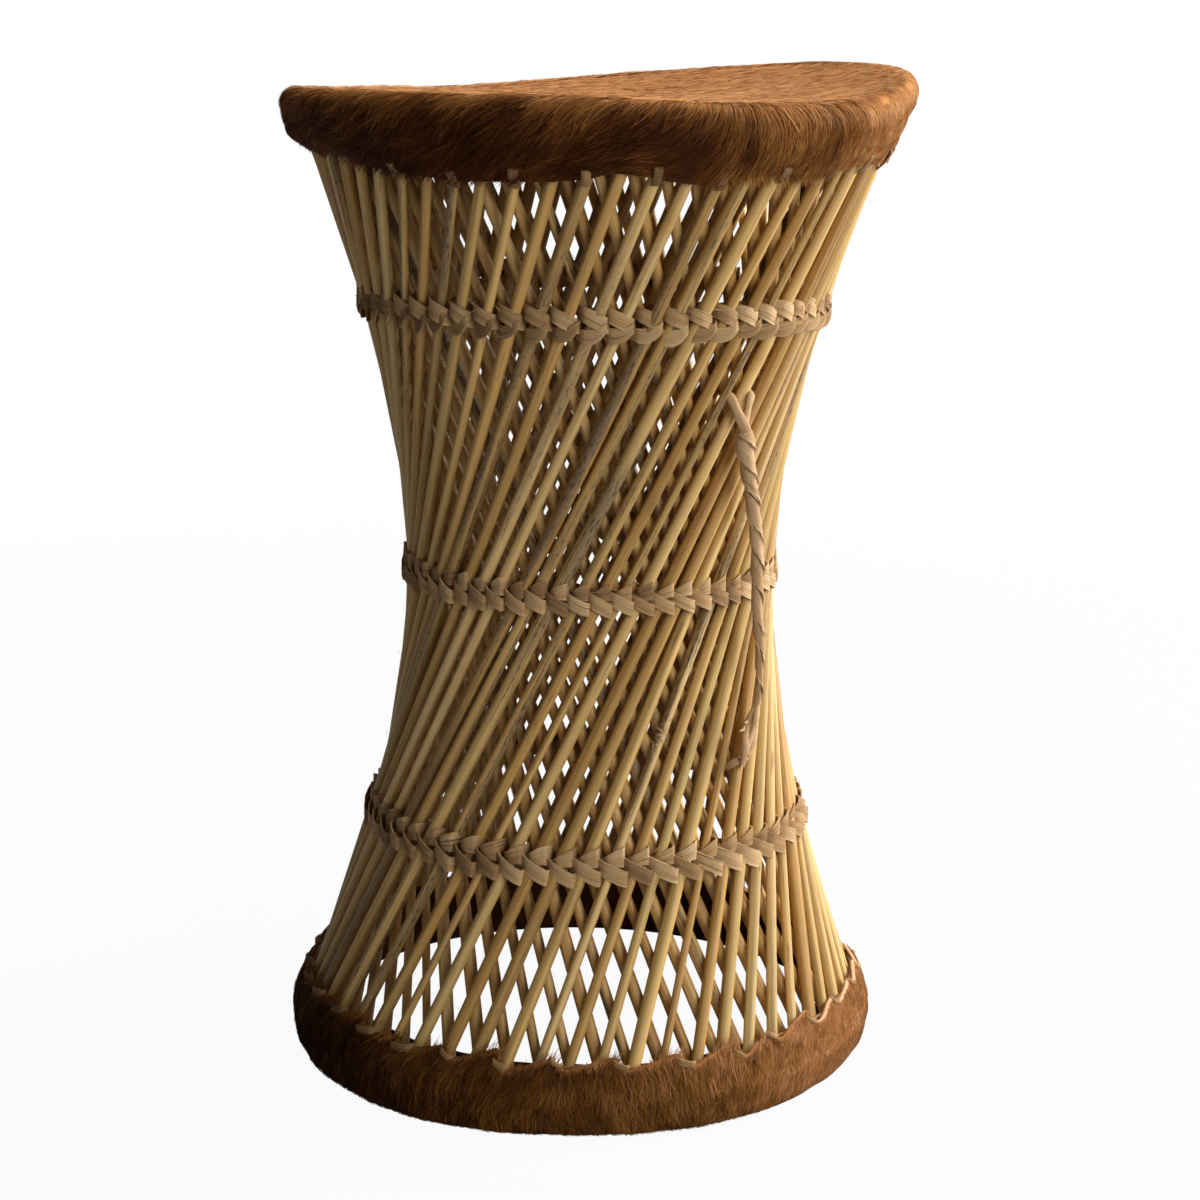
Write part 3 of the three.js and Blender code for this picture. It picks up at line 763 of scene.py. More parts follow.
CRESCENT_SHARES = [
    (-0.66, 0.12, -0.34, 0.50), (-0.50, 0.56, -0.50, 0.70), (-0.30, 0.94, -0.64, 0.86),
    (-0.06, 1.07, -0.66, 0.88), (0.16, 1.13, -0.52, 0.78), (0.34, 1.14, -0.28, 0.56),
    (0.48, 1.08, 0.00, 0.32), (0.56, 0.82, 0.14, 0.20), (0.62, 0.42, 0.14, 0.24),
    (0.74, 0.12, 0.00, 0.38), (1.00, -0.02, -0.20, 0.50),
]
STEP_RUNS = [(-0.80, -0.30, 8), (-0.30, 0.30, 7), (0.30, 0.72, 12), (0.72, 1.20, 4)]
STRAND_STEPS = np.concatenate([np.linspace(*run, endpoint=False) for run in STEP_RUNS])


def period_curve(places, values):
    """One measure of a strand over its period of two canes, smoothed and ready to be read at any place."""
    at = np.arange(PERIOD_SAMPLES) * 2 / PERIOD_SAMPLES
    fine = np.interp(at, places, values, period=2)
    spread = np.exp(-0.5 * (np.arange(-3 * PERIOD_SPREAD, 3 * PERIOD_SPREAD + 1) / PERIOD_SPREAD) ** 2)
    fine = np.convolve(np.pad(fine, 3 * PERIOD_SPREAD, mode="wrap"), spread / spread.sum(), "valid")
    return lambda place: np.interp(place, at, fine, period=2)


def add_band(name, row, shapes, seed):
    """Two rows of twining with opposite twist, each of two strands that pass before and behind the reeds."""
    rng = np.random.default_rng(seed)
    height = row_height(row)
    start = outer_cane_place(height, 0)
    half = BAND_WIDTHS[name] / 2
    periods = CANE_COUNT // 2
    across, under = np.linspace(-1, 1, 11), np.array([1.0, 0.5, -0.5, -1.0])
    side = np.concatenate([across[::-1], under[::-1]]) * half / 2
    # A line a little off the middle of each strip is painted darker: painted shade of a crease. Both edges
    # are painted lighter: a painted highlight along them.
    painted_crease_shade = 0.18 * np.exp(-((side / half + 0.1) ** 2) * 60)
    painted_edge_highlight = 0.22 * (np.abs(side) > 0.49 * half)
    steps = len(STRAND_STEPS)
    near = np.tile(STRAND_STEPS, periods)
    place = np.concatenate([STRAND_STEPS + 2 * period for period in range(periods)])
    builder = Builder(4 * periods)

    def varied(spread):
        knots = rng.normal(0, spread, periods)
        return np.interp(place, 2 * np.arange(periods), knots, period=CANE_COUNT)

    for shares in shapes:
        places, *columns = zip(*shares)
        depth, level, width = (period_curve(places, values)(near) for values in columns)
        for strand_number in range(2):
            forward = np.clip((depth - 0.5) * 2, 0, 1)
            at_height = height + half * (level * (1 + varied(0.06)) + varied(0.05))
            before = outside_canes(at_height) + STRIP_HALF_THICKNESS
            behind = inside_canes(at_height) - STRIP_HALF_THICKNESS
            radius = behind + (before - behind) * depth + forward * varied(0.00025)
            path = polar(radius, start + (place + strand_number + varied(0.035)) * CANE_PITCH, at_height)
            tangent = unit(np.roll(path, -1, 0) - np.roll(path, 1, 0))
            upright = unit(UP - tangent[:, 2:3] * tangent)[:, None]
            facing = np.cross(tangent, upright[:, 0])[:, None]
            wide = (half / 2 * width * 1.06 * (1 + varied(0.08)))[:, None, None]
            flutes = 0.12 * np.cos(across * 13 + rng.uniform(0, 6)) + 0.10 * np.cos(across * 27)
            dome = STRIP_HALF_THICKNESS * (1.0 - 0.22 * across**2 + flutes)
            upper = path[:, None] + wide * across[:, None] * upright + dome[:, None] * facing
            lower = path[:, None] + wide * under[:, None] * 0.98 * upright
            lower = lower - STRIP_HALF_THICKNESS * 0.6 * facing
            ring = np.concatenate([upper[:, ::-1], lower[:, ::-1]], 1)
            gone = place * CANE_PITCH * before
            for period in range(periods):
                rows = np.arange(period * steps, (period + 1) * steps + 1) % len(path)
                along = gone[period * steps] + np.linspace(0, 2 * CANE_PITCH * before[0], len(rows))
                # Every strip a little darker, and those on the left side darker still: painted shade where
                # the key light from the right doesn't reach.
                painted_left_shade = 0.08 + 0.28 * max(-math.sin(start + 2 * period * CANE_PITCH), 0)
                tone = rng.uniform(0.05, 0.95) - painted_left_shade + painted_edge_highlight - painted_crease_shade
                grain = join(along[:, None], side, 0.0)
                builder.grid(ring[rows], grain + rng.uniform(-3, 3, 3), tone, capped=False)
    name = f"{name}_band"
    piece = builder.build(f"{name}_strips", strip_look, "grass_strip", f"{name}_front", f"{name}_back")
    piece.data.set_sharp_from_angle(angle=math.radians(CREASE_DEGREES))


# Loose fibres: a group at each band and one on the reeds, part of which stands at one rough joint
LOOSE_FIBRES = 110
REED_GROUP = 3
ROUGH_JOINT_CANE = 6
ROUGH_JOINT_HEIGHT = 0.177


def add_loose_fibres():
    """Fine fibres that stand off the edges of the twined strips and the reeds."""
    rng = np.random.default_rng(77)
    heights = [row_height(row) for row in (BAND_ROWS, 0, -BAND_ROWS)]
    builder = Builder(4 * LOOSE_FIBRES)
    for fibre in range(4 * LOOSE_FIBRES):
        group = fibre // LOOSE_FIBRES
        turn, proud = rng.uniform(0, TAU), 0.0002
        if group < REED_GROUP:
            height = heights[group] + rng.choice([-1, 1]) * rng.uniform(0.002, 0.0075)
        else:
            height = rng.uniform(0.06, 0.42)
            turn = outer_cane_place(height, int(turn / CANE_PITCH) + rng.uniform(-0.2, 0.2))
            if rng.uniform() < 0.25:
                height, proud = ROUGH_JOINT_HEIGHT + rng.normal(0, 0.004), -0.0003
                turn = outer_cane_place(height, ROUGH_JOINT_CANE + rng.uniform(-0.25, 0.25))
        start = polar(outside_canes(height) + proud, turn, height)
        out = unit(start * LEVEL)
        length = rng.uniform(0.0025, 0.009) * (1 if group < REED_GROUP else 0.6)
        side = np.cross(UP, out) * rng.normal(0, 1)
        way = unit(side + np.array([0, 0, rng.normal(0, 0.9)]) + out * rng.uniform(0.1, 0.5))
        bend = np.cross(way, out) * rng.normal(0, 0.3) + out * rng.uniform(-0.5, 0.1)
        size = 0.00016 * rng.uniform(0.6, 1.4) * (1.1 - np.linspace(0, 1, 7))
        add_fibre(builder, start, way, bend, length, ellipse(size, size * 0.7, 4), out, rng)
    builder.build("loose_fibres", strip_look, "grass_strip")


# Seat hide: the rim's height round the stool in even steps from the front, and the hem's in degrees and mm
SEAT_COLUMNS = 224
RIM_LIFT = 0.0095
RIM_LIFT_SHARES = np.array([-0.05, -0.28, 0.0, 1.05, 1.28, 0.85, 0.18, -0.45, -0.45, -0.3, -0.2, -0.1])
SKIRT_BOTTOM = 0.4355
HEM_TURNS = [
    -90, -82, -70, -58, -50, -44, -36, -27, -18, -10, -1, 3, 8, 13, 18, 22, 26, 30, 35, 40, 45, 50, 54, 60,
    67, 80, 93, 120, 150, 180, 210, 240, 270,
]
HEM_DROPS = [
    5.5, 6.0, 5.5, 5.0, 0, -1.0, -1.8, -4.0, -2.8, -2.5, -1.3, 1.8, 1.1, -1.5, -3.5, -4.4, -2.5, -1.0, 0.3,
    -1.0, -2.1, 0, 2.0, 2.5, 3.2, 2.5, 2.0, 0.5, -0.5, 0.5, 1.5, 3.5, 5.5,
]
DISH_BOTTOM = 0.4632
DISH_FLAT_RADIUS, DISH_RADIUS = 0.035, 0.1375
DISH_ROWS, CREST_ROWS, SKIRT_ROWS = 34, 9, 15
CREST_RADIUS = 0.0065
SEAT_OUTSIDE = 0.1487
SKIRT_GAP = 0.0006
bump_field = Field(5, 40, 4)
wave_field = Field(6, 60, 8)


def rim_height(turn):
    place = np.asarray(turn) / TAU % 1 * len(RIM_LIFT_SHARES)
    index = np.floor(place).astype(int)
    four = (RIM_LIFT_SHARES[(index + k) % len(RIM_LIFT_SHARES)] for k in (-1, 0, 1, 2))
    return STOOL_HEIGHT + catmull_rom(*four, place - np.floor(place)) * RIM_LIFT


def hem_height(turn):
    """The skirt's lower edge: cut uneven, and drawn up between the ties."""
    cut = read_table(turn, HEM_TURNS, HEM_DROPS, -90) * MM
    return SKIRT_BOTTOM + cut + 0.0009 * bump_field(turn, 0.5)


def crest_radius(turn):
    return CREST_RADIUS + 0.0045 * hump(turn, 58, 24)


def seat_outside(turn):
    return SEAT_OUTSIDE + 0.0026 * hump(turn, 95, 30) + 0.0005 * bump_field(turn, 0.9)


def dish_height(radius, turn):
    """The top of the seat hide: drawn flat in the middle and up to the crest at the rim."""
    share = np.clip((radius - DISH_FLAT_RADIUS) / (DISH_RADIUS - DISH_FLAT_RADIUS), 0, 1)
    rise = share**1.7 * (1 - 0.12 * share) / 0.88
    mean = DISH_BOTTOM + 0.0012 * np.sin(turn) * np.clip(radius / 0.1, 0, 1)
    return mean + (rim_height(turn) - mean) * np.minimum(rise, 1)


def seat_profile(turn):
    """Rows of the hide's outside from the middle to the skirt's lower edge, for columns of turn."""
    rim, bottom = rim_height(turn), hem_height(turn)
    crest, outside = crest_radius(turn), seat_outside(turn)
    rows = [(radius, dish_height(radius, turn)) for radius in np.linspace(0.0005, DISH_RADIUS, DISH_ROWS)]
    for share in np.linspace(0.12, 1, CREST_ROWS):
        angle = share * math.pi / 2
        rows.append((outside - crest + crest * math.sin(angle), rim - crest + crest * math.cos(angle)))
    foot = outside_canes(bottom) + SKIRT_GAP + HIDE_THICKNESS
    for share in np.linspace(0.07, 1, SKIRT_ROWS):
        bulge = (0.0018 - 0.0012 * hump(turn, 90, 40)) * math.sin(share * math.pi) ** 0.8
        bulge = bulge + 0.0032 * hump(turn, -84, 26) * math.sin(share**2.6 * math.pi)
        pleat = 0.0007 * share * np.clip(np.sin(turn) * 1.6 - 0.9, 0, 1) * np.sin(turn * 110)
        radius = outside + (foot - outside) * share + bulge + pleat + 0.0008 * wave_field(turn, share)
        rows.append((radius, rim - crest + (bottom - rim + crest) * share))
    return rows


# The skirt's hair round the stool, in degrees from the front: shade, partly the hide's own colour and partly
# painted shade on the left and front, extra painted light at the crest, the angle from straight down near the
# crest and near the lower edge, and the length
COAT_TURNS = [-180, -100, -80, -45, 6, 16, 24, 30, 48, 60, 105, 135, 180]
COAT_TONE_AND_SHADE = [0.36, 0.36, 0.33, 0.23, 0.16, 0.21, 0.34, 0.43, 0.46, 0.61, 0.63, 0.42, 0.36]
COAT_CREST_PAINTED_LIGHT = [0.45, 0.55, 0.62, 0.58, 0.54, 0.48, 0.36, 0.30, 0.28, 0.10, 0.10, 0.30, 0.45]
COAT_HIGH_LEAN = [-1.1, -1.2, -1.35, -1.35, -1.35, -1.1, 0.4, 1.15, 1.1, 0.5, 0.1, -0.6, -1.1]
COAT_LOW_LEAN = [-0.8, -0.7, -0.95, -1.05, -1.0, -0.75, -0.3, -0.05, -0.10, 0.0, -0.1, -0.5, -0.8]
COAT_LENGTHS = [0.017, 0.017, 0.020, 0.022, 0.024, 0.022, 0.021, 0.021, 0.018, 0.0055, 0.005, 0.014, 0.017]
CREST_SHARE = 0.32
RIM_PINCHES = 28
PINCH_ROW, PINCH_SPREAD, PINCH_END_ROW = 36.5, 1.4, 40
PINCH_DEGREES = 1.1
PINCH_HEIGHT = 0.0007


def coat(turn, values):
    return read_table(turn, COAT_TURNS, values)


def hide_tone_and_painted_light(turn, share):
    """How light the skirt is: dark on the left, partly its own colour and partly painted shade, with a golden
    crest of painted light from above, pale and bare on the right.
    """
    return coat(turn, COAT_TONE_AND_SHADE) + coat(turn, COAT_CREST_PAINTED_LIGHT) * np.exp(-((share / CREST_SHARE) ** 2))


def add_seat_skin():
    """The seat hide's skin, doubled under the deck's side, with small puckers where it turns over the rim."""
    turn = even_turns(SEAT_COLUMNS)
    rows = seat_profile(turn)
    outside = len(rows)
    low_radius, low_height = rows[-1]
    rows.append((low_radius - HIDE_THICKNESS * 0.5, low_height - 0.0004))
    rows.append((low_radius - HIDE_THICKNESS, low_height + 0.0003))
    rows += [(radius - HIDE_THICKNESS, height) for radius, height in rows[outside - 3 : outside - 15 : -3]]
    rows.append((0.1475 - HIDE_THICKNESS - 0.004, rim_height(turn) - 0.002 - HIDE_THICKNESS))
    rows += [(radius, dish_height(radius, turn) - HIDE_THICKNESS) for radius in (0.12, 0.08, 0.04, 0.0005)]
    points = ring_points(turn, rows)
    number = np.arange(len(rows))[:, None]
    span = number / (outside - 1)
    top = span < DISH_ROWS / outside
    skirt_grain = join(points[..., 2], turn * SEAT_RADIUS, 0.4)
    grain = np.where(top[..., None], points * (0.6, 1, 1), skirt_grain)
    # The top's skin gets a light tone of 0.90: partly the hide's paler hair, partly painted light from above.
    tone = np.where(top, 0.90, hide_tone_and_painted_light(turn, np.clip((span - 0.62) / 0.38, 0, 1)))
    pinch = np.zeros(turn.shape)
    for middle in range(RIM_PINCHES):
        degrees = FIRST_CANE_DEGREES + middle * 360 / RIM_PINCHES + 3 * math.sin(middle * 7.3)
        pinch += np.exp(-((front_turn(turn - math.radians(degrees)) / math.radians(PINCH_DEGREES)) ** 2))
    raised = np.exp(-(((number - PINCH_ROW) / PINCH_SPREAD) ** 2)) * pinch
    points = points + raised[..., None] * unit(points * LEVEL + (0, 0, 0.12)) * PINCH_HEIGHT
    # The puckers are painted lighter than the hide round them: a painted highlight on each.
    tone = np.clip(tone + 0.35 * raised * (top | (span < PINCH_END_ROW / outside)), 0, 1)
    builder = Builder()
    builder.grid(points[::-1], grain[::-1], tone[::-1])
    builder.build("seat_hide_skin", seat_skin_look, "seat_hide", "seat_hide")


# Hair. Hairs gather towards the middles of cells, and their maps keep a margin and tell their two sides apart
HAIR_CELL = 0.0045
HAIR_ROLL = 0.45
HAIR_BASE = 0.0001
HAIR_MAP_MARGIN, HAIR_MAP_SIDES = 0.01, 0.004
HAIR_PIECES = 4


class Sheet:
    """A curved sheet of rows over columns of turn, read by turn and by the distance gone down it."""

    def __init__(self, points):
        self.points = points
        along = np.roll(points, -1, 1) - np.roll(points, 1, 1)
        self.normals = unit(np.cross(np.gradient(points, axis=0), along))
        radii, heights = np.linalg.norm(points[..., :2], axis=-1).mean(1), points[..., 2].mean(1)
        self.gone = np.concatenate([[0], np.cumsum(np.hypot(np.diff(radii), np.diff(heights)))])

    def read(self, turn, gone):
        x = turn / TAU % 1 * self.points.shape[1]
        y = np.interp(gone, self.gone, np.arange(len(self.gone)))
        return read_grid(self.points, x, y), unit(read_grid(self.normals, x, y))


def build_hairs(name, centre, normal, width, tone, look, slot, rng, roll=HAIR_ROLL):
    """Flat tapered ribbons along their centres. normal is the way each hair faces, roll how far it rolls."""
    hairs, rows = centre.shape[:2]
    along = unit(np.gradient(centre, axis=1))
    side = unit(np.cross(normal, along))
    rolled = rng.normal(0, 1, (hairs, 1, 1)) * np.reshape(roll, (-1, 1, 1))
    side = unit(side * np.cos(rolled) + np.cross(along, side) * np.sin(rolled))
    share = np.linspace(0, 1, rows)[:, None]
    half = width[:, None, None] / 2 * (np.sqrt(np.clip(1 - share, 0, 1)) * 0.9 + 0.1)
    points = np.stack([centre - side * half, centre + side * half], 2).reshape(-1, 3)
    index = np.arange(hairs * rows * 2).reshape(hairs, rows, 2)
    quads = np.stack([index[:, :-1, 0], index[:, :-1, 1], index[:, 1:, 1], index[:, 1:, 0]], -1).ravel()
    shade = np.clip(tone, HAIR_MAP_MARGIN, 1 - HAIR_MAP_MARGIN)[:, None, None]
    down = HAIR_MAP_MARGIN + share * (1 - 2 * HAIR_MAP_MARGIN)
    maps = join(shade + HAIR_MAP_SIDES * np.array([-1, 1]), down).reshape(-1, 2)[quads]
    add_piece(name, points, quads, np.arange(0, quads.size, 4), maps, look, slot)


def hairs_on(sheet, turn, start, length, lean, lift, curl, clump, steps):
    """Hairs that lie along a sheet: lean is the angle from straight down, towards larger turns."""
    share = np.linspace(0, 1, steps)[None]
    radius = np.linalg.norm(sheet.read(turn, start)[0][:, :2], axis=-1)
    bend = lean[:, None] + curl[:, None] * share
    down = length[:, None] * np.cumsum(np.cos(bend), 1) / steps
    across = length[:, None] * np.cumsum(np.sin(bend), 1) / steps
    down, across = down - down[:, :1], across - across[:, :1]
    middle_turn = (np.floor(turn * radius / HAIR_CELL) + 0.5) * HAIR_CELL / radius
    middle_start = (np.floor(start / (1.4 * HAIR_CELL)) + 0.5) * 1.4 * HAIR_CELL
    pull = clump[:, None] * share**1.5
    turns = turn[:, None] + across / radius[:, None] + (middle_turn - turn)[:, None] * pull
    starts = start[:, None] + down + (middle_start - start)[:, None] * pull
    points, normals = sheet.read(turns, starts)
    points = points - join(0.0, 0.0, np.maximum(starts - sheet.gone[-1], 0))
    rise = lift[:, None] * share * (1.35 - 0.8 * share) * length[:, None]
    return points + normals * (rise[..., None] + HAIR_BASE), normals


SKIRT_HAIRS = 6500
TOP_HAIRS = 30000
FOOT_HAIRS = 5000
FRINGE_HAIRS = 5200
TOP_HAIR_SPREAD, TOP_HAIR_REACH = 0.1435, 0.1425
TOP_FIELD_RADIUS = 0.15
FRINGE_RADIUS = 0.147


def add_seat_fur():
    """Long hair on the skirt: nearly level to the left, then curling down, then short and smooth."""
    rng = np.random.default_rng(101)
    turn = even_turns(SEAT_COLUMNS)
    rows = seat_profile(turn)[DISH_ROWS - 3 :]
    low_radius, low_height = rows[-1]
    rows += [(low_radius + 0.0006, low_height - 0.003), (low_radius + 0.0012, low_height - 0.008)]
    sheet = Sheet(ring_points(turn, rows))
    edge = sheet.gone[-3]
    lean_field, length_field, tone_field = Field(11, 26, 4), Field(12, 50, 6), Field(13, 40, 5)
    fine_field, lock_field = Field(14, 170, 10), Field(15, 90, 3)
    count = SKIRT_HAIRS
    for number in range(HAIR_PIECES):
        begin = number * TAU / HAIR_PIECES - math.pi / HAIR_PIECES
        at = begin + rng.uniform(0, TAU / HAIR_PIECES, count)
        start = edge * (0.04 + 0.95 * rng.uniform(0, 1, count) ** 0.9)
        share = start / edge
        lengths = coat(at, COAT_LENGTHS)
        short = np.clip((0.017 - lengths) / 0.010, 0, 1)
        high, low = coat(at, COAT_HIGH_LEAN), coat(at, COAT_LOW_LEAN)
        lean = low + (high - low) * np.exp(-((share / 0.42) ** 2))
        wild = (1 - 0.6 * short) * (0.35 + 0.65 * share)
        strays = 0.55 * lean_field(at, share) + 0.22 * fine_field(at, share)
        lean = lean + wild * strays + rng.normal(0, 0.10, count)
        length = lengths * (0.85 + 0.3 * length_field(at, share)) * rng.uniform(0.7, 1.2, count)
        hang = 0.0007 + 0.0046 * hump(at, 35, 14)
        length = np.minimum(length, np.maximum(edge - start + hang, 0.0022) / np.maximum(np.cos(low), 0.4))
        lift = (0.04 + 0.09 * rng.uniform(0, 1, count) ** 2) * (1 - 0.6 * short)
        curl = 0.5 * (low - high) * np.exp(-((share / 0.5) ** 2)) + 0.6 * wild * lean_field(at + 0.3, share)
        curl = curl + rng.normal(0, 0.22, count)
        clump = rng.uniform(0.3, 0.9, count) * (1 - 0.7 * short)
        locks = 0.14 * fine_field(at + 1, share) + 0.08 * lock_field(at, share)
        tone = hide_tone_and_painted_light(at, share) + (1 - 0.5 * short) * (0.11 * tone_field(at, share) + locks)
        tone = tone + rng.normal(0, 0.07, count)
        width = rng.uniform(0.00026, 0.00052, count)
        centre, normals = hairs_on(sheet, at, start, length, lean, lift, curl, clump, 7)
        name, roll = f"seat_skirt_fur_{number + 1}", HAIR_ROLL - 0.3 * short
        build_hairs(name, centre, normals, width, tone, seat_fur_look, "seat_hide", rng, roll)


def add_top_fur():
    """Short hair on the seat that lies from left to right."""
    rng = np.random.default_rng(202)
    flow_field, tone_field, fine_field = Field(21, 16, 5), Field(22, 26, 7), Field(23, 120, 20)
    count = TOP_HAIRS
    share = np.linspace(0, 1, 4)[None]
    for number in range(2):
        radius = TOP_HAIR_SPREAD * np.sqrt(rng.uniform(0, 1, count))
        turn = (number + rng.uniform(0, 1, count)) * math.pi - math.pi / 2
        length = rng.uniform(0.004, 0.0075, count)
        share_out = radius / TOP_FIELD_RADIUS
        way = 0.06 + 0.16 * flow_field(turn, share_out) + rng.normal(0, 0.08, count)
        x = (radius * np.sin(turn))[:, None] + np.cos(way)[:, None] * length[:, None] * share
        y = (-radius * np.cos(turn))[:, None] + np.sin(way)[:, None] * length[:, None] * share
        reach, around = np.hypot(x, y), np.arctan2(x, -y)
        over = np.maximum(reach - TOP_HAIR_REACH, 0)
        inside = np.minimum(reach, TOP_HAIR_REACH)
        z = dish_height(inside, around) - over**2 / (2 * crest_radius(around)) * 1.2
        centre = join(x, y, z + HAIR_BASE + 0.00025 * share * (1.3 - share))
        # A light tone all over, partly the hair's own colour and partly painted light from above; the hairs
        # near the front of the rim are lighter still: a painted highlight.
        tone = 0.90 + 0.05 * tone_field(turn, share_out) + 0.05 * fine_field(turn, share_out)
        tone = tone + rng.normal(0, 0.035, count) + 0.08 * (radius > 0.1385) * hump(turn, 0, 45)
        width = rng.uniform(0.00017, 0.0003, count)
        name = f"seat_top_fur_{number + 1}"
        build_hairs(name, centre, UP, width, tone, seat_fur_look, "seat_hide", rng, 0.2)


# Foot hide
FOOT_COLUMNS = 448
FOOT_OUTSIDE = 0.1461
FOOT_ROUND = 0.0058
WALL_ROWS = 16
# Stitches of the foot lacing: degrees from the front, the hide's edge and its climb to the next one, in mm
STITCHES = [
    (-92, 28, 2.5), (-81, 29, 3), (-70, 30.5, 3), (-58.5, 31, 3.5), (-48, 29.5, 2.5), (-38, 28.5, 5),
    (-26.3, 29, 7), (-15.3, 28.5, 5.5), (-4, 31, 4.5), (8, 30.5, 4.5), (20.5, 29.5, 6.5), (32.7, 29.5, 6.5),
    (41.8, 33, 5.5), (53.8, 33, 4), (65, 34, 3), (76, 34, 2.5), (88, 32, 2.5), (100, 28, 2), (112, 29, 3),
    *[(124 + 12 * number, 33, 4) for number in range(11)], (256, 28, 2.5),
]
CLIMB_SHARES = [(0.0, 0.0), (0.12, -0.06), (0.36, 0.30), (0.62, 0.66), (0.87, 1.0), (0.95, 0.82)]
INNER_LEG_TURNS = [-180, -125, -90, -60, 60, 90, 125, 180]
INNER_LEG_TOPS = [42, 41, 32, 25.5, 25.5, 32, 41, 42]
# How light the foot hide is round the stool, in degrees from the front: lighter on the bare right, partly the
# hide's own colour, and darker on the left, partly painted shade.
FOOT_SHADE_TURNS = [-180, -110, -75, -45, -20, 0, 25, 45, 70, 110, 150, 180]
FOOT_TONE_AND_SHADE = [0.34, 0.32, 0.23, 0.24, 0.29, 0.37, 0.50, 0.60, 0.62, 0.62, 0.42, 0.34]
TUCK_DEPTH = 0.0021
foot_field = Field(31, 70, 4)


def edge_table():
    """The foot hide's upper edge: it climbs a reed up to each stitch and drops just past it."""
    table = []
    for (degrees, level, climb), (after, _, _) in zip(STITCHES, STITCHES[1:] + STITCHES[:1]):
        gap = (after - degrees) % 360
        table += [(degrees + share * gap, level + rise * climb, level) for share, rise in CLIMB_SHARES]
    return np.array(table)


EDGE_TABLE = edge_table()


def read_edge(turn, column):
    first = EDGE_TABLE[0, 0]
    degrees = (np.degrees(turn) - first) % 360 + first
    return np.interp(degrees, EDGE_TABLE[:, 0], EDGE_TABLE[:, column], right=EDGE_TABLE[0, column]) * MM


def foot_edge(turn):
    return read_edge(turn, 1) + 0.0006 * foot_field(turn, 0.4)


def strip_edge(turn):
    """The top of the split-cane strip, just below the hide's edge at its dips."""
    return np.minimum(STRIP_TOP, read_edge(turn, 2) - 0.0012)


def tucked(turn, height):
    """How far the hide has leaned in over the strip, from 0 at the strip's edge to 1."""
    return np.clip((height - strip_edge(turn)) / 0.004, 0, 1)


def foot_tone_and_shade(turn):
    return read_table(turn, FOOT_SHADE_TURNS, FOOT_TONE_AND_SHADE)


def foot_round(turn):
    return FOOT_ROUND - 0.003 * hump(turn, -40, 45) + 0.0062 * hump(turn, 80, 36)


def strip_outside(height):
    return outside_canes(height) + CLEARANCE + STRIP_THICKNESS


def foot_profile(turn):
    """Rows of the foot hide's outside from its upper edge to the floor."""
    edge, low = foot_edge(turn), foot_round(turn)
    fuller = 0.0044 * hump(turn, -33, 26) + 0.0010 * hump(turn, 25, 25) - 0.0012 * hump(turn, 78, 22)
    folds = 0.0007 * hump(turn, 78, 34)
    rows = []
    for share in np.linspace(0, 1, WALL_ROWS):
        height = edge + (low - edge) * share
        wall = strip_outside(np.maximum(height, STRIP_BOTTOM)) + CLEARANCE + HIDE_THICKNESS
        wall = wall + 0.0003 - TUCK_DEPTH * tucked(turn, height)
        flat = np.where(height < STRIP_BOTTOM, FOOT_OUTSIDE, wall)
        radius = np.minimum(flat, FOOT_OUTSIDE) + 0.0006 * foot_field(turn, share) + fuller * share
        rows.append((radius + folds * np.sin(turn * 30 + share * 4.5) * math.sin(share * math.pi), height))
    widest = rows[-1][0]
    for share in np.linspace(0.15, 1, 7):
        angle = share * math.pi / 2
        rows.append((widest - low * (1 - math.cos(angle)), low - low * math.sin(angle)))
    return rows


def foot_outside(turn, height):
    """How far out the foot hide's outside is near the floor."""
    low = foot_round(turn)
    down = np.clip((low - height) / low, 0, 1)
    return foot_profile(turn)[WALL_ROWS - 1][0] - low * (1 - np.sqrt(1 - down**2))


def add_ring(name, turn, rows, grain_radius, depth, tone, look, slot, node):
    """A ring closed round its section, with its grain round the stool."""
    points = ring_points(turn, rows)
    builder = Builder()
    builder.grid(points, join(turn * grain_radius, points[..., 2], depth), tone, loop=True)
    builder.build(name, look, slot, node)


def add_foot_strip():
    """The split-cane strip bound round the reeds behind the hide."""
    turn = even_turns(FOOT_COLUMNS)
    tall = strip_edge(turn) - STRIP_BOTTOM
    rows = []
    for share in np.linspace(1, 0, 6):
        height = STRIP_BOTTOM + tall * share
        rows.append((strip_outside(height) - 0.0003 * (share == 1), height))
    for share in np.linspace(0, 1, 4):
        height = STRIP_BOTTOM + tall * share
        rows.append((outside_canes(height) + CLEARANCE, height))
    tone = 0.4 + 0.3 * np.sin(turn * 3)
    look, slot = inner_reed_look, "reed_outer"
    add_ring("foot_strip_cane", turn, rows, FOOT_OUTSIDE, 0.2, tone, look, slot, "foot_strip")


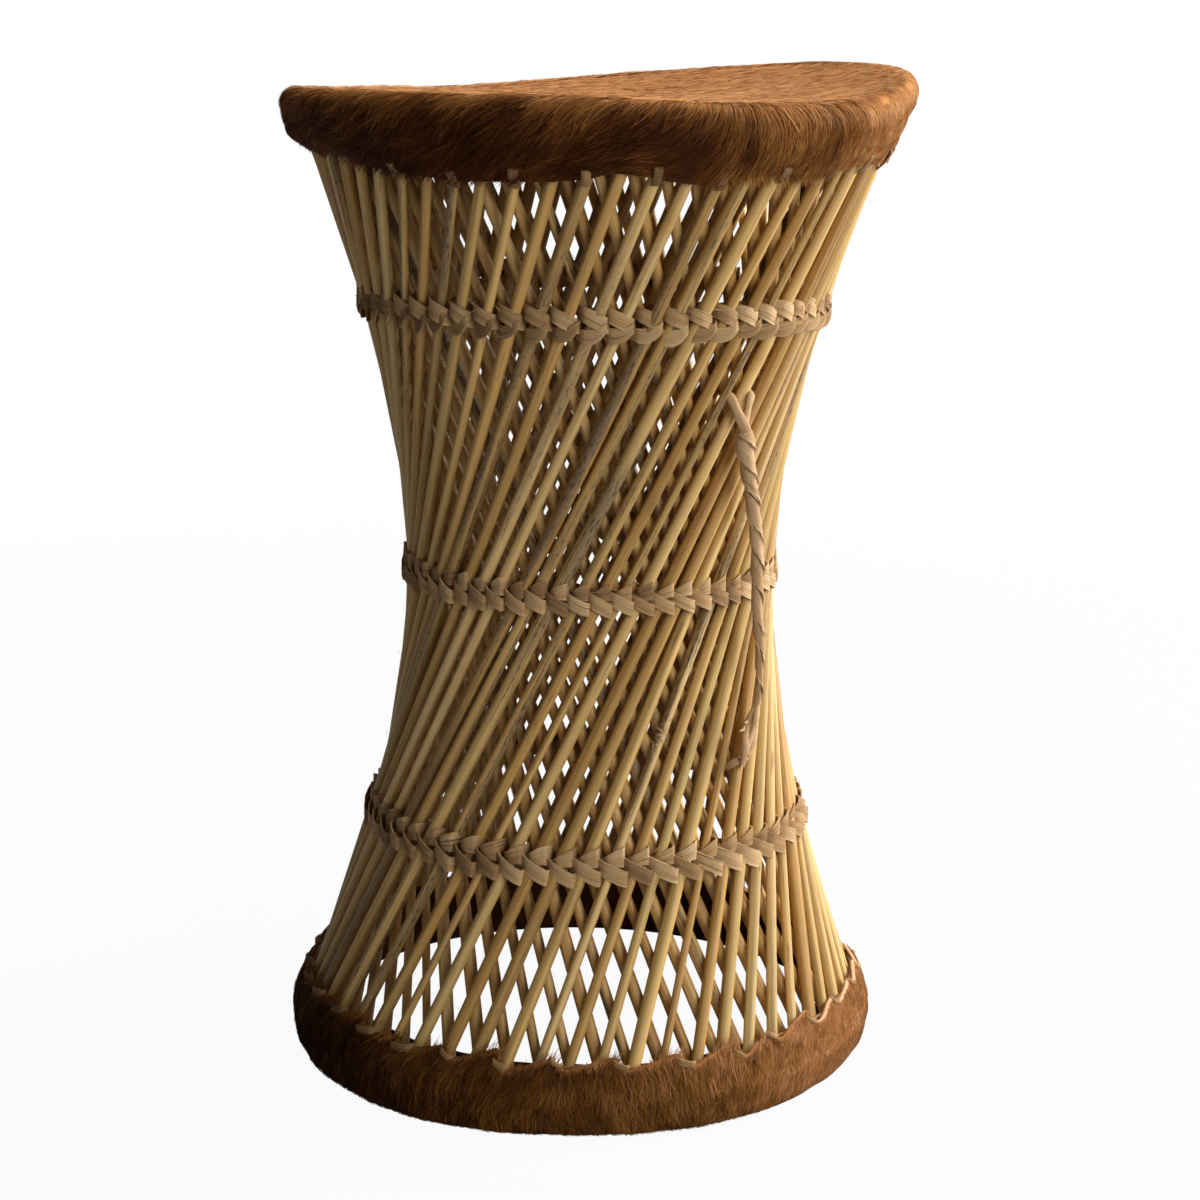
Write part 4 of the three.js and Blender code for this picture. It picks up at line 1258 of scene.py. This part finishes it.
def add_foot_skin():
    """The foot hide's skin: down outside, under the reeds' ends, up inside them and back between."""
    turn = even_turns(FOOT_COLUMNS)
    rows = foot_profile(turn)
    wall = list(rows)
    outside = len(rows)
    inner_top = read_table(turn, INNER_LEG_TURNS, INNER_LEG_TOPS) * MM + 0.0009 * foot_field(turn + 1, 0.7)
    rows.append((0.1335, 0.0))
    for share in np.linspace(0, 1, 9):
        height = 0.0035 + (inner_top - 0.0035) * share
        rows.append((inside_canes(np.maximum(height, CANE_BOTTOM)) - CLEARANCE - HIDE_THICKNESS, height))
    rows.append((inside_canes(inner_top) - CLEARANCE, inner_top + 0.0003))
    for share in np.linspace(0.1, 1, 5):
        height = inner_top + (0.010 - inner_top) * share
        rows.append((inside_canes(np.maximum(height, CANE_BOTTOM)) - CLEARANCE, height))
    lip = HIDE_THICKNESS + 0.0006
    rows.append((0.1345, HIDE_THICKNESS))
    rows.append((np.minimum(0.1400, foot_outside(turn, lip) - HIDE_THICKNESS), lip))
    for row in (15, 12, 8, 4, 2):
        radius, height = wall[row]
        rows.append((radius - HIDE_THICKNESS, height + (0.0004 if row > 2 else 0)))
    first_radius, first_height = rows[0]
    rows.append((first_radius - HIDE_THICKNESS, first_height))
    rows.append((first_radius - HIDE_THICKNESS / 2, first_height + 0.0004))
    points = ring_points(turn, rows)
    right = np.clip(0.5 + 0.5 * np.sin(turn - 0.3), 0, 1)
    rim = np.zeros((len(rows), 1))
    rim[[0, -1, -2]] = 1
    tone = np.clip(foot_tone_and_shade(turn) + rim * (0.12 + 0.72 * right**1.5), 0, 1.4)
    # The rows up the inside of the reeds are made dark all round: painted shade inside the ring.
    tone[outside + 1 : outside + 10] = 0.2
    builder = Builder()
    builder.grid(points, join(points[..., 2], turn * SEAT_RADIUS, 0.9), tone, loop=True)
    builder.build("foot_hide_skin", foot_skin_look, "foot_hide", "foot_hide")


def bareness(turn, first):
    """How bare the hide is on the right, from 0 at the first turn to 1."""
    return np.clip((turn - first) / 0.5, 0, 1) * np.clip((2.3 - turn) / 0.4, 0, 1)


def add_foot_fur():
    """Hair on the foot that hangs down, dark on the left, partly by painted shade, and short on the right."""
    rng = np.random.default_rng(303)
    turn = even_turns(FOOT_COLUMNS)
    sheet = Sheet(ring_points(turn, foot_profile(turn)))
    whole = sheet.gone[-1]
    lean_field, tone_field, fine_field = Field(33, 26, 4), Field(34, 40, 5), Field(35, 180, 12)
    count = FOOT_HAIRS
    for number in range(HAIR_PIECES):
        at = (number - 0.5 + rng.uniform(0, 1, count)) * TAU / HAIR_PIECES
        start = whole * rng.uniform(0.0, 0.80, count)
        share = start / whole
        signed = front_turn(at)
        bare = bareness(signed, 0.38)
        lean = 0.30 * np.sin(signed * 2) + 0.45 * lean_field(at, share) + 0.25 * fine_field(at, share)
        lean = lean + rng.normal(0, 0.13, count) - 0.6 * bare
        length = rng.uniform(0.007, 0.0145, count) * (1 - 0.66 * bare)
        length = np.minimum(length, (whole - start) * 0.9 + 0.002)
        lift = (0.05 + 0.10 * rng.uniform(0, 1, count) ** 2) * (1 - 0.55 * bare)
        curl = rng.normal(0, 0.35, count)
        clump = rng.uniform(0.2, 0.8, count)
        tone = foot_tone_and_shade(at) + 0.15 * tone_field(at, share) + 0.16 * fine_field(at + 1, share)
        tone = tone + rng.normal(0, 0.08, count)
        width = rng.uniform(0.00026, 0.0005, count)
        centre, normals = hairs_on(sheet, at, start, length, lean, lift, curl, clump, 5)
        centre[..., 2] = np.maximum(centre[..., 2], 0.0003)
        name, roll = f"foot_fur_{number + 1}", HAIR_ROLL - 0.3 * bare
        build_hairs(name, centre, normals, width, tone, foot_fur_look, "foot_hide", rng, roll)


def add_foot_fringe():
    """Golden hair that stands along the foot hide's upper edge and lies up against the reeds."""
    rng = np.random.default_rng(313)
    count = FRINGE_HAIRS
    at = np.radians(rng.uniform(-95, 265, count))
    edge = foot_edge(at)
    climbed = np.clip((edge - read_edge(at, 2)) / 0.005, 0, 1)
    bare = bareness(front_turn(at), 0.6)
    length = ((0.0016 + 0.0062 * climbed * rng.uniform(0.2, 1, count)) * (1 - 0.75 * bare))[:, None]
    lean = (0.35 + rng.normal(0, 0.30, count))[:, None]
    share = np.linspace(0, 1, 5)[None]
    begin = edge - rng.uniform(0.0, 0.004, count)
    height = begin[:, None] + length * np.cos(lean) * share
    turns = at[:, None] + length * (np.sin(lean) * share + 0.3 * share**2) / FRINGE_RADIUS
    wall = strip_outside(height) + CLEARANCE + HIDE_THICKNESS + 0.0004
    proud = 0.0007 * share * (1.4 - share) - 0.0009 * np.clip((height - edge[:, None]) / 0.004, 0, 1)
    centre = polar(wall - TUCK_DEPTH * tucked(turns, height) + proud, turns, height)
    tone = foot_tone_and_shade(at) + 0.20 + 0.10 * np.sin(at * 41) + rng.normal(0, 0.09, count)
    width = rng.uniform(0.00024, 0.00046, count) * (1 - 0.7 * bare)
    normals = polar(1.0, turns, 0.0)
    build_hairs("foot_fur_fringe", centre, normals, width, tone, foot_fur_look, "foot_hide", rng)


# Lacing
THONG_HALF_THICKNESS = 0.0006
SEAT_TIES = CANE_COUNT // 2
TIE_LENGTH = 0.014


def add_foot_lacing():
    """The thong runs behind the hide's edge and comes out over it at each stitch as a short flat strip."""
    rng = np.random.default_rng(404)
    builder = Builder(len(STITCHES) + 1)
    turn = np.linspace(0, TAU, 225)[:-1]
    top = strip_edge(turn) + CLEARANCE + THONG_HALF_THICKNESS
    run = polar(outside_canes(top) + 0.0016, turn, top + 0.0002 * np.sin(turn * 28))
    outline = ellipse(0.0011, THONG_HALF_THICKNESS, 8)
    strand(builder, run, UP, outline, 0.0, 0.1, turn * SEAT_RADIUS, closed=True)
    round_one = ellipse(1.0, 1.0, 12)[0]
    for degrees, level, _ in STITCHES:
        long_tab = degrees < -30 or degrees > 130
        # The tabs are darker on the left and lighter to the right: painted shade on the side away from the
        # key light.
        painted_shade_low_tone = 0.0 if degrees < -30 else 0.25 if degrees < 30 else 0.4
        begin = math.radians(degrees - (0.6 if long_tab else 1.7))
        if long_tab:
            reach, tall = rng.uniform(0.0085, 0.0112), rng.uniform(0.0017, 0.0022)
            drop, middle = -0.0016 * abs(math.sin(begin)), level * MM + 0.0006
        else:
            reach, tall = rng.uniform(0.0058, 0.0078), rng.uniform(0.0014, 0.0020)
            drop, middle = 0.0022, level * MM + 0.0016
            if degrees == -4 or degrees > 30:
                tall, reach = tall * 0.66, reach * 0.6
        line = []
        for share in (-0.10, 0.0, 0.12, 0.35, 0.62, 0.88, 1.0, 1.10):
            height = middle + drop * (0.45 - share)
            wall = strip_outside(height) + CLEARANCE + HIDE_THICKNESS - 0.0015 * tucked(begin, height)
            hidden = max(share - 0.90, 0) / 0.20
            if not long_tab:
                hidden = hidden + max(0.10 - share, 0) / 0.20
            bow = 0.0004 * math.sin(min(max(share, 0), 1) * math.pi) + 0.0005 - 0.0022 * hidden
            line.append(polar(wall + bow, begin + share * reach / wall, height))
        line = smooth_curve(line, 20)
        outline = (np.sign(round_one) * np.abs(round_one) ** 0.55 * (tall, 0.0007))[None]
        points = tube(line, polar(1.0, begin, 0.0), outline)
        twist = rng.normal(0, 0.0004, (1, 1, 3)) * (0, 0, 1)
        grain = join(np.linspace(0, reach, len(line))[:, None], outline[..., 0], outline[..., 1])
        builder.grid(points + twist, grain + rng.uniform(-2, 2, 3), rng.uniform(painted_shade_low_tone, painted_shade_low_tone + 0.3))
    builder.build("foot_lacing_thong", thong_look, "rawhide_thong", "foot_lacing")


def add_seat_lacing():
    """Short strips that tie the skirt's lower edge to the reeds, one to every second reed."""
    rng = np.random.default_rng(505)
    builder = Builder(SEAT_TIES)
    for tie in range(SEAT_TIES):
        turn = float(outer_cane_place(SKIRT_BOTTOM, 2 * tie)) + rng.normal(0, 0.006)
        low = float(hem_height(turn))
        top = low + rng.uniform(0.0026, 0.0052)
        low_radius, top_radius = outside_canes(low), outside_canes(top)
        route = [
            (low_radius - 0.0005, low - 0.0030),
            (low_radius + 0.0012, low - 0.0016),
            (low_radius + 0.0034, low + 0.0006),
            (top_radius + 0.0044, top),
            (top_radius + 0.0034, top + 0.0014),
        ]
        line = smooth_curve(ring_points(turn, route), 16)
        outline = ellipse(0.00045, rng.uniform(0.0019, 0.0028), 10)
        guide = np.array([math.cos(turn), math.sin(turn), 0.0])
        gone = np.linspace(0, TIE_LENGTH, len(line))
        strand(builder, line, guide, outline, rng.uniform(-2, 2, 3), rng.uniform(0.0, 0.4), gone)
    builder.build("seat_lacing_strips", thong_look, "grass_strip")


# Deck and hoops
DECK_PITCH = 0.0094
DECK_ROPE_RADIUS = 0.0028
DECK_RADIUS = 0.1245
DECK_HEIGHT, DECK_WAVE = 0.4577, 0.0022


def add_deck():
    """Grass ropes woven over and under each other inside the rim hoop."""
    rng = np.random.default_rng(606)
    lines = int(DECK_RADIUS / DECK_PITCH)
    builder = Builder(2 * (2 * lines + 1))
    outline = ellipse(DECK_ROPE_RADIUS * 1.2, DECK_ROPE_RADIUS * 0.8, 8)
    for way in range(2):
        for number in range(-lines, lines + 1):
            offset = number * DECK_PITCH
            half = math.sqrt(DECK_RADIUS**2 - offset**2)
            along = np.linspace(-half, half, max(8, int(half * 2 / DECK_PITCH * 6)))
            height = DECK_HEIGHT + DECK_WAVE * np.cos(math.pi * (along / DECK_PITCH + number + way))
            other = offset + 0.0004 * np.sin(along / 0.017 + number)
            path = join(along, other, height) if way == 0 else join(other, along, height)
            strand(builder, path, UP, outline, rng.uniform(-3, 3, 3), rng.uniform(0.0, 0.7), along)
    builder.build("seat_deck_weave", strip_look, "grass_bundle", "seat_deck")


def add_rim_bundle():
    """The bundled grass hoop inside the crest. Its top follows the hide, which isn't level all round."""
    turn = even_turns(SEAT_COLUMNS)
    gap = HIDE_THICKNESS + 0.0008
    outside, top, bottom = seat_outside(turn) - gap, rim_height(turn) - gap, CANE_TOP + CLEARANCE
    corner = crest_radius(turn) - gap + 0.0012
    first = np.arcsin(np.clip((bottom + 0.0006 - top + corner) / corner, 0, 1))
    inside = float(inside_canes(CANE_TOP))
    hem, crest = hem_height(turn), rim_height(turn) - crest_radius(turn)
    skirt_foot = outside_canes(hem) + SKIRT_GAP + HIDE_THICKNESS
    fallen = np.clip((crest - bottom) / (crest - hem), 0, 1)
    skirt = seat_outside(turn) + (skirt_foot - seat_outside(turn)) * fallen - gap - 0.0010
    lowest = np.minimum(outside - corner + corner * np.cos(first), skirt)
    rows = [(inside, bottom), (lowest - 0.003, bottom), (lowest - 0.0008, bottom)]
    for share in np.linspace(0, 1, 7):
        angle = first + (math.pi / 2 - first) * share
        height = np.maximum(top - corner + corner * np.sin(angle), bottom + 0.0006)
        rows.append((outside - corner + corner * np.cos(angle), height))
    for radius in np.linspace(0.1365, inside + 0.0015, 4):
        rows.append((radius, np.maximum(dish_height(radius, turn) - gap, bottom + 0.002)))
    add_ring("seat_rim_bundle", turn, rows, SEAT_RADIUS, 0.0, 0.5, hoop_look, "grass_bundle", "seat_rim_hoop")


def add_foot_bundle():
    """The bundled grass hoop under the reeds' ends, inside the turn of the foot hide."""
    turn = even_turns(SEAT_COLUMNS)
    top, bottom = CANE_BOTTOM - CLEARANCE, HIDE_THICKNESS + 0.0009
    inside, widest = float(inside_canes(CANE_BOTTOM)) + 0.0010, float(outside_canes(CANE_BOTTOM))
    rows = [(inside, top)]
    for height in np.linspace(top, bottom, 7):
        rows.append((np.minimum(foot_outside(turn, height) - HIDE_THICKNESS - 0.0007, widest), height))
    rows.append((inside, bottom))
    add_ring("foot_bundle", turn, rows, SEAT_RADIUS, 0.0, 0.5, hoop_look, "grass_bundle", "foot_hoop")


# Floor, world and lights
WHITE = (1, 1, 1, 1)
FLOOR_GREY = (0.36, 0.36, 0.36, 1)
FLOOR_SIZE = 40.0
WORLD_STRENGTH = 0.092


def show_white(tree, kind, factor, lit, output):
    """What the camera sees directly is white by the factor. The rest is what lights the object."""
    glow = add_node(tree, kind, {"Color": WHITE, "Strength": 1.0})[0]
    blend = add_node(tree, "MixShader", {0: factor, 1: lit, 2: glow})[0]
    tree.links.new(blend, tree.nodes[output].inputs["Surface"])


def add_stage():
    mesh = bpy.data.meshes.new("floor")
    corners = [(x * FLOOR_SIZE, y * FLOOR_SIZE, 0) for x, y in ((-1, -1), (1, -1), (1, 1), (-1, 1))]
    mesh.from_pydata(corners, [], [(0, 1, 2, 3)])
    floor = bpy.data.objects.new("floor", mesh)
    bpy.context.scene.collection.objects.link(floor)
    material = bpy.data.materials.new("floor_paper")
    material.use_nodes = True
    tree = material.node_tree
    shader = tree.nodes["Principled BSDF"]
    for socket, value in (("Base Color", FLOOR_GREY), ("Roughness", 0.9), ("Specular IOR Level", 0.0)):
        shader.inputs[socket].default_value = value
    place = add_node(tree, "TexCoord", {})["Object"]
    distance = add_node(tree, "VectorMath", {0: place}, operation="LENGTH")["Value"]
    fade = {"Value": distance, "From Min": 0.25, "From Max": 1.6, "To Min": 0.95, "To Max": 1.0}
    paper = add_node(tree, "MapRange", fade)["Result"]
    seen = add_node(tree, "LightPath", {})["Is Camera Ray"]
    share = add_node(tree, "Math", {0: seen, 1: paper}, operation="MULTIPLY")[0]
    show_white(tree, "Emission", share, shader.outputs[0], "Material Output")
    mesh.materials.append(material)


def add_world():
    world = bpy.data.worlds.new("studio")
    bpy.context.scene.world = world
    world.use_nodes = True
    tree = world.node_tree
    plain = tree.nodes["Background"]
    plain.inputs["Color"].default_value = WHITE
    plain.inputs["Strength"].default_value = WORLD_STRENGTH
    seen = add_node(tree, "LightPath", {})["Is Camera Ray"]
    show_white(tree, "Background", seen, plain.outputs[0], "World Output")


def add_lamp(name, place, aim, size, power):
    data = bpy.data.lights.new(name, "AREA")
    data.shape = "RECTANGLE"
    data.size, data.size_y = size
    data.energy = power
    lamp = bpy.data.objects.new(name, data)
    lamp.location = place
    lamp.rotation_mode = "QUATERNION"
    lamp.rotation_quaternion = (Vector(aim) - Vector(place)).to_track_quat("-Z", "Y")
    bpy.context.scene.collection.objects.link(lamp)


bpy.context.scene.view_settings.view_transform = "Standard"
add_camera()
route = add_rope()
add_fork(route)
add_knot(route)
add_reeds("outer_reeds", "outer_canes", outer, outer_cane_turn, reed_look, "reed_outer", 1)
add_reeds("inner_reeds", "inner_canes", inner, inner_cane_turn, inner_reed_look, "reed_inner", 2)
add_band("upper", BAND_ROWS, (BROAD_SHARES, CRESCENT_SHARES), 51)
add_band("middle", 0, (FAN_SHARES, SLANT_SHARES), 52)
add_band("lower", -BAND_ROWS, (FAN_SHARES, SLANT_SHARES), 53)
add_loose_fibres()
add_seat_skin()
add_seat_fur()
add_top_fur()
add_foot_strip()
add_foot_skin()
add_foot_fur()
add_foot_fringe()
add_foot_lacing()
add_seat_lacing()
add_deck()
add_rim_bundle()
add_foot_bundle()
add_stage()
add_world()
add_lamp("key", (1.55, 0.50, 0.95), (0, 0, 0.26), (0.6, 0.9), 48)
add_lamp("fill", (1.10, -1.40, 0.80), (0, 0, 0.24), (1.0, 1.0), 17)
add_lamp("top", (0.30, 0.20, 1.75), (0, 0, 0.40), (0.8, 0.8), 25)
